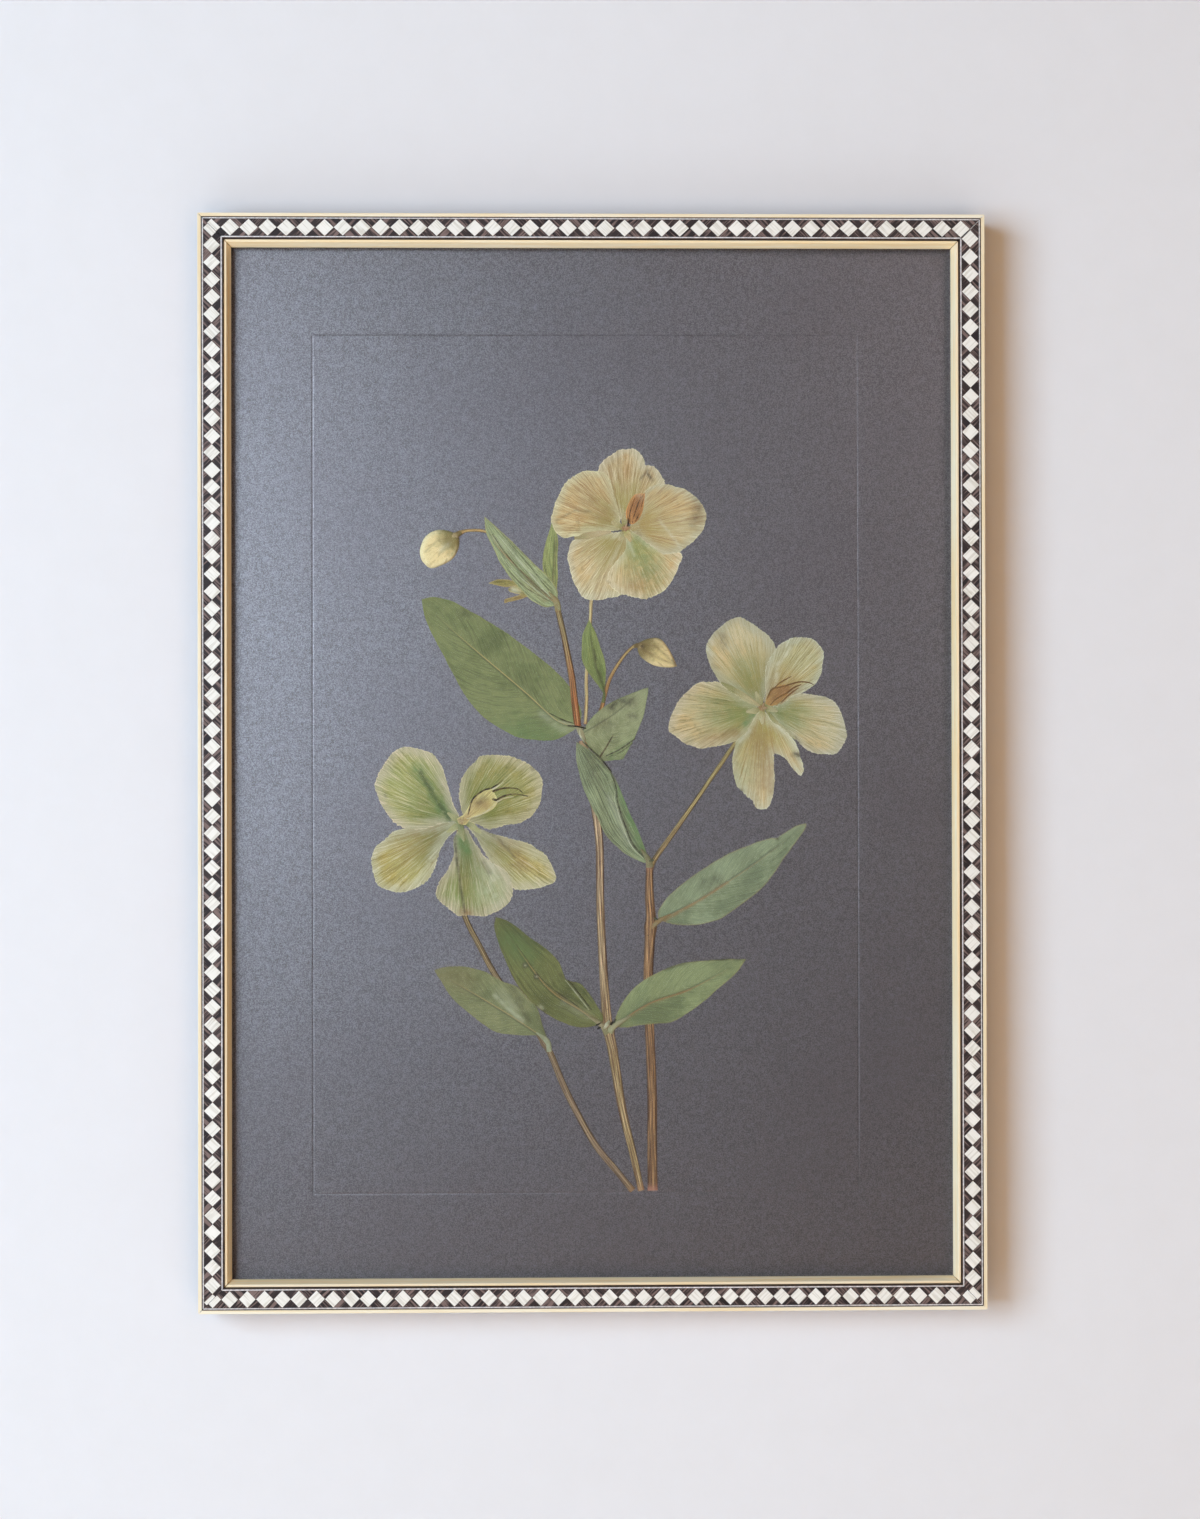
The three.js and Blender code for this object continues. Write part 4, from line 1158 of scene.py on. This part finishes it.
for seed, (name, leaf) in enumerate(UPPER_LEAVES.items(), 31):
    press_leaf(name, *leaf, seed)

# Buds: closed flowers, dried with their petals wrapped round each other and pressed to a low dome.
# They hang from their stalks and are glued to the paper.
BUD_HEIGHT = 1.35
BUD_ROUNDING = 4.5
SEAM_WIDTH, SEAM_DEPTH = 0.45, 0.22


def bud_outline(name):
    """The widest outline of a rounded solid, in millimetres on the sheet."""
    corners = np.array([v.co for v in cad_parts[name].data.vertices])
    spots = np.column_stack([corners[:, 0], corners[:, 2] - SHEET_MIDDLE]) / MM
    level = corners[:, 1]
    half_way = (level.min() + level.max()) / 2
    spots = np.unique(spots[np.abs(level - half_way) < 1e-5].round(3), axis=0)
    away = spots - spots.mean(0)
    return spots[np.argsort(np.arctan2(away[:, 1], away[:, 0]))]


def press_bud(name, base, tones, strokes, seams, joint, seed):
    """A bud: a low dome with grooves where its petals overlap, and a joint to its stalk."""
    rim = smooth_line(bud_outline(name), SPACING, True)
    spots, faces = fill_outline(rim, SPACING)
    edge = away_from(rim, spots, True)
    towards = rim.mean(0) - np.array(base)
    offset = spots - np.array(base)
    from_base = np.hypot(*offset.T)
    fields = {
        "along": from_base / from_base.max(),
        "across": np.arctan2(np.cross(towards, offset), offset @ towards),
        "rim": edge,
    }
    dome = np.sqrt(np.clip(1 - (1 - np.clip(edge / BUD_ROUNDING, 0, 1)) ** 2, 0, 1))
    from_seams = [away_from(np.array(seam, float), spots, False) for seam in seams]
    groove = sum(np.exp(-((away / SEAM_WIDTH) ** 2)) for away in from_seams)
    shape = BUD_HEIGHT * dome - SEAM_DEPTH * groove * dome + 0.05 * ripples(spots, 3, seed)
    heights = GLUE + np.maximum(shape, 0) + read_field(settled(relief, 2), spots)
    # The seams' grooves go in as "under", which the bud's finish darkens as painted shade.
    fields["under"] = np.clip(groove, 0, 1)
    for kind in MARKS:
        fields[kind] = brushed(spots, strokes, kind)
    points, shell = closed_shell(spots, faces, heights, np.maximum(shape, 0) + GLUE / 2)
    both = {field: np.tile(values, 2) for field, values in fields.items()}
    points, shell, both = with_extras(points, shell, both, joint)
    add_pressed(name, points, shell, both, bud_finish(name, *tones), "bud")


def bud_finish(name, body, edge, base, net):
    """Papery bud: cream, olive at the stalk, with a net of fine lines."""
    material, wire, place = start_finish(name + "_paper")
    along, across, rim, seam = fields_of(wire, "along", "across", "rim", "under")
    mottle = cloud(place, 500.0, 5.0, 0.6)
    lines = cloud(spot(across * 16.0, along * 5.0), 1.0, 4.0, 0.65)
    colour = mix(tone(*body), tone(*edge), (1 - ease(rim, 0.3, 2.6)) * 0.7)
    colour = mix(colour, tone(*net), ease(lines, 0.5, 0.66) * 0.6 + ease(mottle, 0.55, 0.75) * 0.3)
    olive = 1 - ease(along + (mottle - 0.5) * 0.4 + (lines - 0.5) * 0.25, 0.22, 0.6)
    colour = mix(colour, tone(*base), olive * 0.85)
    # Painted shade in the grooves of the seams.
    colour = mix(colour, shade_of(net, 0.75), seam * 0.4)
    colour = marked(wire, colour, mottle)
    close_finish(wire, colour, 0.72, lines * 0.6 + mottle * 0.4, 0.00012)
    return material


press_bud(
    "left_bud", (-53.5, 91), ((250, 219, 155), (255, 233, 176), (119, 104, 47), (201, 162, 102)),
    [("stain", 0.7, 0.8, [(-55, 90.5), (-53.5, 90)]), ("bleach", 0.5, 1, [(-60, 84.5), (-57, 87)])],
    [[(-54, 90.5), (-57.5, 86.5), (-60.5, 83)], [(-54, 90.5), (-61, 88.5), (-66, 84)]],
    [([(-51.6, 91.6), (-53.4, 90.8), (-56.5, 88.6)], [1.2, 2.2, 3.2, 1.2], 0.9,
      {"stain": 0.5, "rust": 0.4})], 51,
)
press_bud(
    "right_bud", (18, 47.5), ((229, 199, 134), (245, 217, 159), (113, 93, 47), (171, 129, 79)),
    [("stain", 0.8, 0.9, [(18.5, 47), (20.5, 46)]), ("stain", 0.8, 0.4, [(32, 41), (33.5, 38.5)])],
    [[(19, 46), (26, 42), (33.5, 38.8)], [(19, 47.5), (25.5, 46.5), (31, 41.5)]],
    [([(16.8, 46.6), (18.6, 46.8), (21.5, 45.6)], [1.1, 2, 2.8, 1], 0.9,
      {"stain": 0.6, "rust": 0.4})], 52,
)

# Flowers: thin petals dried to beige and green, laid one over the next round each heart, with fine
# veins that fan out from it, crimped pale edges and stains. Their stalks show through as ridges.
FAN_BEHIND = 3.0


def petal_finish(name, body, base, edge, vein, fade, seed):
    """A dry petal: veins that fan out, a green or brown foot, and an edge that fades inwards."""
    material, wire, place = start_finish(name + "_tissue")
    along, across, rim, under = fields_of(wire, "along", "across", "rim", "under")
    mottle = cloud(place, 420.0, 5.0, 0.64)
    patches = cloud(place, 85.0, 3.0)
    wavy = across + (mottle - 0.5) * 0.03
    broad = cloud(spot(across * 5.0, along * 1.3, seed + 0.3), 1.0, 3.0)
    veins = cloud(spot(wavy * 56.0, along * 1.8, seed + 0.6), 1.0, 3.0, 0.6)
    fine = cloud(spot(wavy * 110.0, along * 4.0, float(seed)), 1.0, 3.0, 0.65)
    warm = tone(min(255, 1.04 * body[0]), 0.96 * body[1], 0.86 * body[2])
    colour = mix(tone(*body), warm, ease(patches * 0.5 + broad * 0.5, 0.44, 0.62) * 0.8)
    heart = 1 - ease(along + (broad - 0.5) * 0.6 + (veins - 0.5) * 0.3, 0.1, 0.75)
    colour = mix(colour, tone(*base), heart * 0.95)
    crimp = 1 - ease(rim + (mottle - 0.5) * 2.5 + (broad - 0.5) * fade, 0.1 * fade, fade)
    colour = mix(colour, tone(*edge), crimp * 0.65)
    pale = shade_of(edge, 1.16)
    light = (1 - ease(fine, 0.36, 0.5)) * 0.5 + (1 - ease(veins, 0.34, 0.47)) * 0.42
    colour = mix(colour, pale, light * (1 - heart * 0.4))
    dark = ease(fine, 0.5, 0.62) * 0.5 + ease(veins, 0.53, 0.64) * 0.5
    colour = mix(colour, tone(*vein), dark * (1 - crimp * 0.45))
    # A thin pale line along the edge: partly the petal's own frayed edge, partly a painted
    # highlight where the edge catches the light.
    frayed_edge_and_highlight = 1 - ease(rim + (mottle - 0.5) * 1.4 + (veins - 0.5) * 1.2, 0.1, 0.34)
    colour = mix(colour, pale, frayed_edge_and_highlight * 0.55)
    blotch = ease(mottle * 0.6 + patches * 0.4, 0.56, 0.68)
    colour = mix(colour, shade_of(vein, 0.8), blotch * 0.35)
    colour = mix(colour, tone(205, 190, 150), under * 0.14)
    colour = marked(wire, colour, mottle)
    bump = fine * 0.4 + veins * 0.4 + mottle * 0.2
    close_finish(wire, colour, 0.78 - fine * 0.12, bump, 0.00022)
    return material


def fan_fields(rim, spots, centre):
    """Places on a petal: how far out from the centre, the angle, and how far from the edge."""
    axis = spots.mean(0) - centre
    axis /= np.hypot(*axis)
    offset = spots - (centre - FAN_BEHIND * axis)
    reach = np.hypot(*offset.T)
    return {
        "along": (reach - reach.min()) / (reach.max() - reach.min()),
        "across": np.arctan2(offset @ np.array((-axis[1], axis[0])), offset @ axis),
        "rim": away_from(rim, spots, True),
    }


def press_petal(name, centre, tones, fade, strokes, seed):
    """A petal: crimped, pleated along its veins, and joined to the flower's centre by its claw."""
    rim = torn_edge(smooth_line(outline_of(name), SPACING, True), 0.28, seed)
    spots, faces = fill_outline(rim, SPACING)
    centre = np.array(centre)
    fields = fan_fields(rim, spots, centre)
    curl = np.clip(1 - fields["rim"] / 2.2, 0, 1) ** 2 * (0.5 + 0.7 * ripples(spots, 6, seed))
    pleats = np.sin(fields["across"] * 34 + 2 * ripples(spots, 12, seed + 2)) * fields["along"]
    shape = 0.05 * ripples(spots, 8, seed + 1) + 0.04 * pleats + 0.1 * np.clip(curl, 0, 1)
    root = rim[np.argmin(np.hypot(*(rim - centre).T))]
    inward = spots.mean(0) - root
    claw = [tuple(centre), tuple(root), tuple(root + inward * 0.25)]
    extras = [(claw, [1.8, 2.8, 0.8], 0.1, {"verdure": 0.35})] + TURNED_EDGES.get(name, [])
    finish = petal_finish(name, *tones, fade, seed)
    press(name, rim, spots, faces, np.maximum(shape, 0), fields, strokes, finish, "petal", extras)


# Strips where the edge of a petal is turned over.
TURNED_EDGES = {
    "right_flower_upper_right_petal": [
        ([(70.8, 22.3), (74.2, 23.2), (77.8, 25.3), (81, 27.8)], [0.6, 1.6, 1.6, 0.6], 0.1,
         {"rust": 0.3}),
    ],
    "right_flower_right_petal": [
        ([(69.4, 21.3), (71, 18.9), (72.6, 16.9), (75, 15), (78.3, 12.2), (81.2, 9.4)],
         [0.8, 1.7, 2.1, 1.8, 1.6, 0.6], 0.1, {"verdure": 0.3}),
    ],
    "right_flower_left_petal": [
        ([(51.5, 32), (55, 29.9), (58.4, 27.8), (62.5, 25.2), (66.8, 22.6)],
         [0.8, 2.4, 2.8, 2.6, 0.9], 0.1, {"verdure": 0.3}),
    ],
    "top_flower_left_petal": [
        ([(-6.8, 89.4), (-1.5, 90.5), (3.5, 91.4), (7.8, 92)], [1, 2.8, 2.4, 0.9], 0.1,
         {"bleach": 0.3, "rust": 0.25}),
    ],
}
# Each flower: its centre, how far in its pale edges fade, and its petals from the lowest up, each
# with its body, foot, edge and vein colours and its marks.
FLOWERS = {
    "top_flower": ((13.5, 93.5), 3.5, {
        "upper": (
            ((200, 169, 120), (175, 157, 86), (209, 193, 156), (148, 110, 62)),
            [("stain", 0.8, 0.7, [(22.5, 115), (24, 112.5)]),
             ("stain", 0.6, 0.5, [(19.5, 113), (22.5, 116.5)])],
        ),
        "lower_left": (
            ((210, 183, 132), (163, 142, 67), (215, 201, 162), (171, 130, 86)),
            [("bleach", 0.4, 0.8, [(5, 69.5), (8, 80), (12, 88.5)]),
             ("stain", 0.95, 0.6, [(6.5, 93.5), (9.5, 93)])],
        ),
        "left": (
            ((210, 178, 124), (161, 144, 72), (210, 197, 151), (161, 113, 66)),
            [("rust", 0.4, 7, [(-0.5, 104.5), (5.5, 98.5)]),
             ("stain", 0.4, 0.5, [(-14, 96.5), (-6.5, 100.5), (-0.5, 100)])],
        ),
        "lower_right": (
            ((224, 183, 128), (203, 183, 99), (228, 207, 166), (167, 131, 71)),
            [("verdure", 0.8, 8, [(19, 86.5), (22.5, 75)]),
             ("rust", 0.5, 3, [(16, 69.5), (19, 71)]),
             ("bleach", 0.6, 0.5, [(14.5, 88.5), (17, 82.5)])],
        ),
        "right": (
            ((210, 183, 131), (181, 153, 82), (199, 186, 148), (165, 119, 72)),
            [("stain", 0.55, 2.6, [(42, 104), (42.5, 99), (40.5, 96)]),
             ("bleach", 0.6, 0.6, [(27, 96.5), (33.5, 88.5), (36, 84)])],
        ),
    }),
    "right_flower": ((68, 22), 4.5, {
        "upper_left": (
            ((219, 194, 144), (157, 130, 52), (177, 168, 137), (154, 132, 69)),
            [("stain", 0.55, 2.2, [(52, 50), (52.5, 47)]),
             ("bleach", 0.6, 0.7, [(46.5, 52), (48, 47)]),
             ("bleach", 0.6, 0.7, [(45, 47), (48, 43)]),
             ("verdure", 0.5, 7, [(63.5, 29), (61, 37)])],
        ),
        "left": (
            ((214, 186, 134), (146, 136, 58), (200, 181, 144), (119, 102, 49)),
            [("verdure", 0.5, 9, [(61, 20.5), (49, 20.5)]),
             ("verdure", 1, 1.6, [(65, 20.5), (61, 15.5)]),
             ("rust", 0.55, 2.2, [(45, 8.5), (57, 12)])],
        ),
        "upper_right": (
            ((198, 181, 126), (170, 133, 55), (195, 189, 157), (141, 118, 64)),
            [("bleach", 0.8, 0.9, [(73, 29), (74, 39), (79, 45.5)]),
             ("rust", 0.6, 4, [(71, 25), (79, 30)])],
        ),
        "right": (
            ((209, 188, 140), (157, 141, 60), (192, 180, 150), (126, 116, 59)),
            [("verdure", 0.6, 6, [(71.5, 20.5), (81, 18.5)]),
             ("stain", 0.6, 0.8, [(81, 10), (83, 7.5)])],
        ),
        "lower": (
            ((220, 197, 147), (174, 156, 72), (199, 190, 155), (175, 132, 76)),
            [("verdure", 0.4, 7, [(61, 7), (61, -4.5)]), ("rust", 0.6, 5, [(67.5, 9), (69, -8.5)]),
             ("stain", 0.95, 1.3, [(81, 3.5), (83, 2.5)]),
             ("stain", 0.7, 0.6, [(58.5, -10.5), (60, -11)]),
             ("bleach", 0.8, 0.7, [(63, 13), (59, 8.5)]),
             ("bleach", 0.8, 0.7, [(73.5, 15), (79, 10), (82, 5)])],
        ),
    }),
    "left_flower": ((-51.5, -23), 5.5, {
        "lower_left": (
            ((192, 176, 102), (80, 99, 32), (203, 192, 158), (140, 119, 53)),
            [("rust", 0.4, 8, [(-66, -26.5), (-74, -34.5)])],
        ),
        "upper_left": (
            ((176, 170, 100), (91, 112, 41), (209, 188, 155), (116, 117, 60)),
            [("verdure", 1, 2.6, [(-69, -2.5), (-62.5, -13), (-56.5, -22)]),
             ("stain", 0.7, 1, [(-68, -3.5), (-62.5, -13), (-56.5, -22)]),
             ("stain", 0.6, 0.5, [(-82, -12.5), (-81.5, -13.5)])],
        ),
        "lower_right": (
            ((201, 186, 114), (97, 107, 30), (198, 183, 148), (117, 108, 49)),
            [("stain", 0.55, 0.5, [(-46, -24.5), (-36.5, -30.5), (-30.5, -37.5)]),
             ("stain", 0.45, 0.4, [(-44.5, -23.5), (-32.5, -33.5)]),
             ("rust", 0.45, 5, [(-34.5, -32.5), (-26.5, -39.5)])],
        ),
        "lower": (
            ((143, 148, 84), (77, 93, 34), (198, 177, 143), (128, 114, 58)),
            [("verdure", 1, 3.2, [(-52, -30.5), (-50, -34.5)]),
             ("stain", 0.85, 0.6, [(-54.5, -28), (-53.5, -38.5), (-50.5, -59)]),
             ("rust", 0.8, 1.5, [(-51.5, -59), (-49, -59.5)]),
             ("bleach", 0.6, 6, [(-39.5, -42.5), (-39, -52.5)]),
             ("stain", 0.5, 1, [(-43, -39.5), (-40.5, -43.5)])],
        ),
        "upper_right": (
            ((174, 157, 87), (114, 121, 43), (199, 181, 143), (115, 110, 52)),
            [("verdure", 0.4, 8, [(-40.5, -4.5), (-34.5, -10.5)]),
             ("stain", 0.5, 0.8, [(-23.5, -2.5), (-22, -2)])],
        ),
    }),
}
seed = 60
for flower, (centre, fade, petals) in FLOWERS.items():
    for place, (tones, strokes) in petals.items():
        press_petal(flower + "_" + place + "_petal", centre, tones, fade, strokes, seed)
        seed += 3

# Hearts: what is left in the middle of each flower, a ring of dry knobs and the seed cases, brown
# and ribbed, with hair-thin styles on one. They grow on the end of the stalk, over the petals.
KNOBS = 9
HEART_SPACING = 0.4
HEART_FADE = 1.2


def press_heart(name, centre, rim, tones, strokes, lines, seed):
    """A heart: a ribbed case with the outline given, or its solid's, and knobs round its foot."""
    rim = outline_of(name) if rim is None else np.array(rim, float)
    rim = smooth_line(rim, HEART_SPACING, True)
    spots, faces = fill_outline(rim, HEART_SPACING)
    fields = fan_fields(rim, spots, np.array(centre))
    swell = np.sqrt(np.clip(fields["rim"] / 1.6, 0, 1))
    shape = 0.22 * swell + 0.05 * np.sin(fields["across"] * 26) * swell
    knobs = []
    for i in range(KNOBS):
        angle = 2 * math.pi * i / KNOBS + 0.3 * math.sin(5 * i)
        reach = 1.5 + 0.6 * math.sin(3 * i + 1)
        end = (centre[0] + reach * math.cos(angle), centre[1] + reach * math.sin(angle))
        marks = {"bleach": 0.6, "rust": 0.3 + 0.4 * (i % 2)}
        knobs.append(([centre, end], [0.8, 1.0, 0.4], 0.4, marks))
    finish = petal_finish(name, *tones, HEART_FADE, seed)
    press(name, rim, spots, faces, shape, fields, strokes, finish, "heart", lines + knobs)


press_heart(
    "top_flower_heart", (13.5, 93.5),
    [(15.6, 94.9), (14.1, 96.8), (13.6, 99.4), (14.2, 102), (15.6, 105), (17.2, 106.8),
     (19.2, 107.2), (21.2, 107.2), (21, 104.4), (20.6, 101.8), (19.9, 99.2), (18.6, 96.8),
     (16.9, 95.2)], ((172, 98, 41), (193, 123, 57), (207, 139, 67), (107, 51, 22)),
    [("rust", 0.5, 1.5, [(16, 104.5), (19, 104.5)]), ("stain", 0.4, 2.2, [(17, 102), (18.5, 98)]),
     ("bleach", 0.35, 1.2, [(18.6, 106.6), (20.6, 104.5)])],
    [([(15.2, 95.6), (15.4, 99.5), (17.2, 105.5)], [0.3, 0.8, 0.3], 0.14, {"stain": 1.1}),
     ([(16.2, 95.6), (17.4, 100), (19.6, 106)], [0.3, 0.8, 0.3], 0.14, {"stain": 1.2}),
     ([(17.4, 96), (19.2, 100), (20.6, 105)], [0.3, 0.7, 0.3], 0.14, {"stain": 1}),
     ([(14.2, 94.2), (14.6, 96), (14.4, 98)], [0.6, 0.8, 0.3], 0.2, {"stain": 1.2})], 121,
)
press_heart(
    "right_flower_heart", (68, 22),
    [(69.2, 23.6), (69.6, 25.9), (71.2, 28.6), (73.8, 30.6), (77.1, 31.2), (79.1, 30.2),
     (78.1, 27.6), (75.8, 25), (73.2, 23.1), (70.9, 22.8)],
    ((167, 115, 58), (179, 129, 63), (179, 129, 61), (106, 64, 29)),
    [("rust", 0.7, 1.2, [(75, 24.6), (78.4, 28.4)]),
     ("stain", 0.3, 1.4, [(72, 26.6), (75.5, 29.2)])],
    [([(69.8, 25.6), (71.9, 29.3), (75.2, 30.1), (78.1, 31)], [0.4, 0.8, 0.7, 0.5], 0.16,
      {"stain": 0.6, "rust": 0.5}),
     ([(78.1, 31), (80.4, 31.7), (83.4, 32.3), (87, 31.8), (88.4, 31)], [0.6, 0.6, 0.5, 0.3], 0.2,
      {"stain": 0.6, "rust": 0.5}),
     ([(71, 23.1), (73.8, 25.6), (77.4, 27.7), (80.4, 29.9), (83.4, 31.2)],
      [0.5, 0.9, 0.8, 0.6, 0.3], 0.16, {"stain": 0.65, "rust": 0.5}),
     ([(75.4, 24), (79.1, 27.6), (82.4, 29.9)], [0.3, 0.7, 0.3], 0.14, {"rust": 1, "stain": 0.4}),
     ([(72.4, 29.6), (75.4, 32.2), (79.5, 34.4)], [0.4, 0.5, 0.3], 0.14,
      {"rust": 0.9, "stain": 0.4})], 122,
)
press_heart(
    "left_flower_heart", (-51.5, -23), None,
    ((204, 185, 114), (195, 155, 102), (225, 206, 137), (158, 129, 69)),
    [("stain", 0.55, 1.5, [(-44.6, -15.6), (-42.6, -14)]),
     ("rust", 0.6, 2.4, [(-45, -16), (-41.5, -16.6)])],
    [([(-49, -20.4), (-47.7, -15.4), (-46, -13), (-42.7, -10.7), (-39.4, -9.7), (-35.2, -6.6)],
      [0.4, 0.7, 0.7, 0.7, 0.6, 0.3], 0.22, {"stain": 1.1}),
     ([(-39.4, -10.4), (-37, -9), (-35, -7.4)], [0.8, 0.6, 0.3], 0.24, {"bleach": 1.2}),
     ([(-39.4, -11.2), (-34.4, -9.8), (-29.6, -10.2), (-27.4, -11.7)], [0.7, 0.65, 0.55, 0.3], 0.24,
      {"stain": 1.1}),
     ([(-38.2, -14.8), (-34.8, -13), (-30.7, -12.2), (-25.2, -13.1)], [0.8, 0.7, 0.55, 0.3], 0.24,
      {"stain": 1.2}),
     ([(-37.6, -15.4), (-34.6, -13.9), (-31, -13.2)], [0.6, 0.5, 0.3], 0.22, {"bleach": 1.2}),
     ([(-39.4, -14.2), (-37.6, -14.8)], [0.7, 1.1, 0.7], 0.3, {"stain": 1.5}),
     ([(-49.6, -22), (-44, -20.4), (-39.6, -17.4), (-37.4, -14.9)], [0.3, 0.5, 0.5, 0.4], 0.16,
      {"bleach": 1.2})], 123,
)

# Backing board: brown hardboard with the screen's print on its rough side, cut to fit the rabbet
# behind the sheet.
SCREEN_WAVES = 3600.0
BOARD_ARRIS = 0.0003
material, wire, place = start_finish("hardboard")
x, z = axes_of(place, "X", "Z")
pulp = cloud(place, 700.0, 5.0, 0.65)
waves = [wire.sum_of("SINE", axis * SCREEN_WAVES, 0.0) for axis in (x, z)]
screen = waves[0] * waves[1]
patches = cloud(place, 26.0, 3.0)
brown = mix(tone(104, 74, 46), tone(158, 122, 82), ease(pulp * 0.7 + patches * 0.3, 0.35, 0.65))
close_finish(wire, brown, 0.85, screen * 0.35 + pulp * 0.65, 0.00022)
dress_node("backing_board", material, BOARD_ARRIS)

# Glazing points: flat tabs of zinc-plated steel, driven into the side rails. They lie over the
# backing board's edge and keep it in the rabbet.
METAL_ARRIS = 0.00015


def scratches(place, sizes):
    """Fine scratches in metal, at so many waves a metre each way."""
    stretched = place.node("ShaderNodeVectorMath", {"operation": "MULTIPLY"}, {0: place, 1: sizes})
    return cloud(stretched, 1.0, 4.0)


material, wire, place = start_finish("zinc_steel")
scratch = scratches(place, (300, 300, 9000))
zinc = mix(tone(150, 151, 152), tone(206, 207, 208), scratch)
close_finish(wire, zinc, 0.28 + scratch * 0.22, scratch, 0.00003, Metallic=1.0)
for end in ("lower", "upper"):
    for side in UPRIGHT:
        dress_node(end + "_" + side + "_point", material, METAL_ARRIS)

# Hanger: a strip of brassed steel, bent to stand off the board and notched along its lower edge for
# the nail. Two small nails through its feet hold it to the board.
HANGER_LOW, HANGER_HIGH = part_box("hanger")
FOOT_METAL = 0.0008
NAIL_REACH = 0.0185
NAIL_RADIUS = 0.0017
NAIL_RISE = 0.0009
NAIL_SIDES = 20
NAIL_HEAD = (1.0, 0.97, 0.8, 0.45)
material, wire, place = start_finish("brassed_steel")
scratch = scratches(place, (250, 8000, 8000))
tarnish = cloud(place, 260.0, 4.0)
brass = mix(tone(176, 148, 84), tone(214, 190, 124), scratch)
brass = mix(brass, tone(120, 96, 56), ease(tarnish, 0.55, 0.75) * 0.6)
close_finish(wire, brass, 0.3 + tarnish * 0.25, scratch, 0.00003, Metallic=1.0)
dress_node("hanger", material, METAL_ARRIS)

build = bmesh.new()
for side in (-1, 1):
    middle = (HANGER_LOW.z + HANGER_HIGH.z) / 2
    centre = Vector((side * NAIL_REACH, HANGER_LOW.y + FOOT_METAL, middle))
    rings = []
    for share in NAIL_HEAD:
        rise = NAIL_RISE * math.sqrt(1 - share**2)
        ring = []
        for i in range(NAIL_SIDES):
            angle = 2 * math.pi * i / NAIL_SIDES
            away = Vector((math.cos(angle), 0, math.sin(angle))) * NAIL_RADIUS * share
            ring.append(build.verts.new(centre + away + Vector((0, rise, 0))))
        rings.append(ring)
    build.faces.new(rings[0])
    build.faces.new(rings[-1][::-1])
    for low, high in zip(rings, rings[1:]):
        for corners in ring_sides(low, high):
            build.faces.new(corners)
bmesh.ops.recalc_face_normals(build, faces=build.faces)
mesh = bpy.data.meshes.new("hanger_nails")
build.to_mesh(mesh)
build.free()
mesh.materials.append(material)
mesh.shade_smooth()
set_piece("hanger_nails", mesh, "hanger_metal")
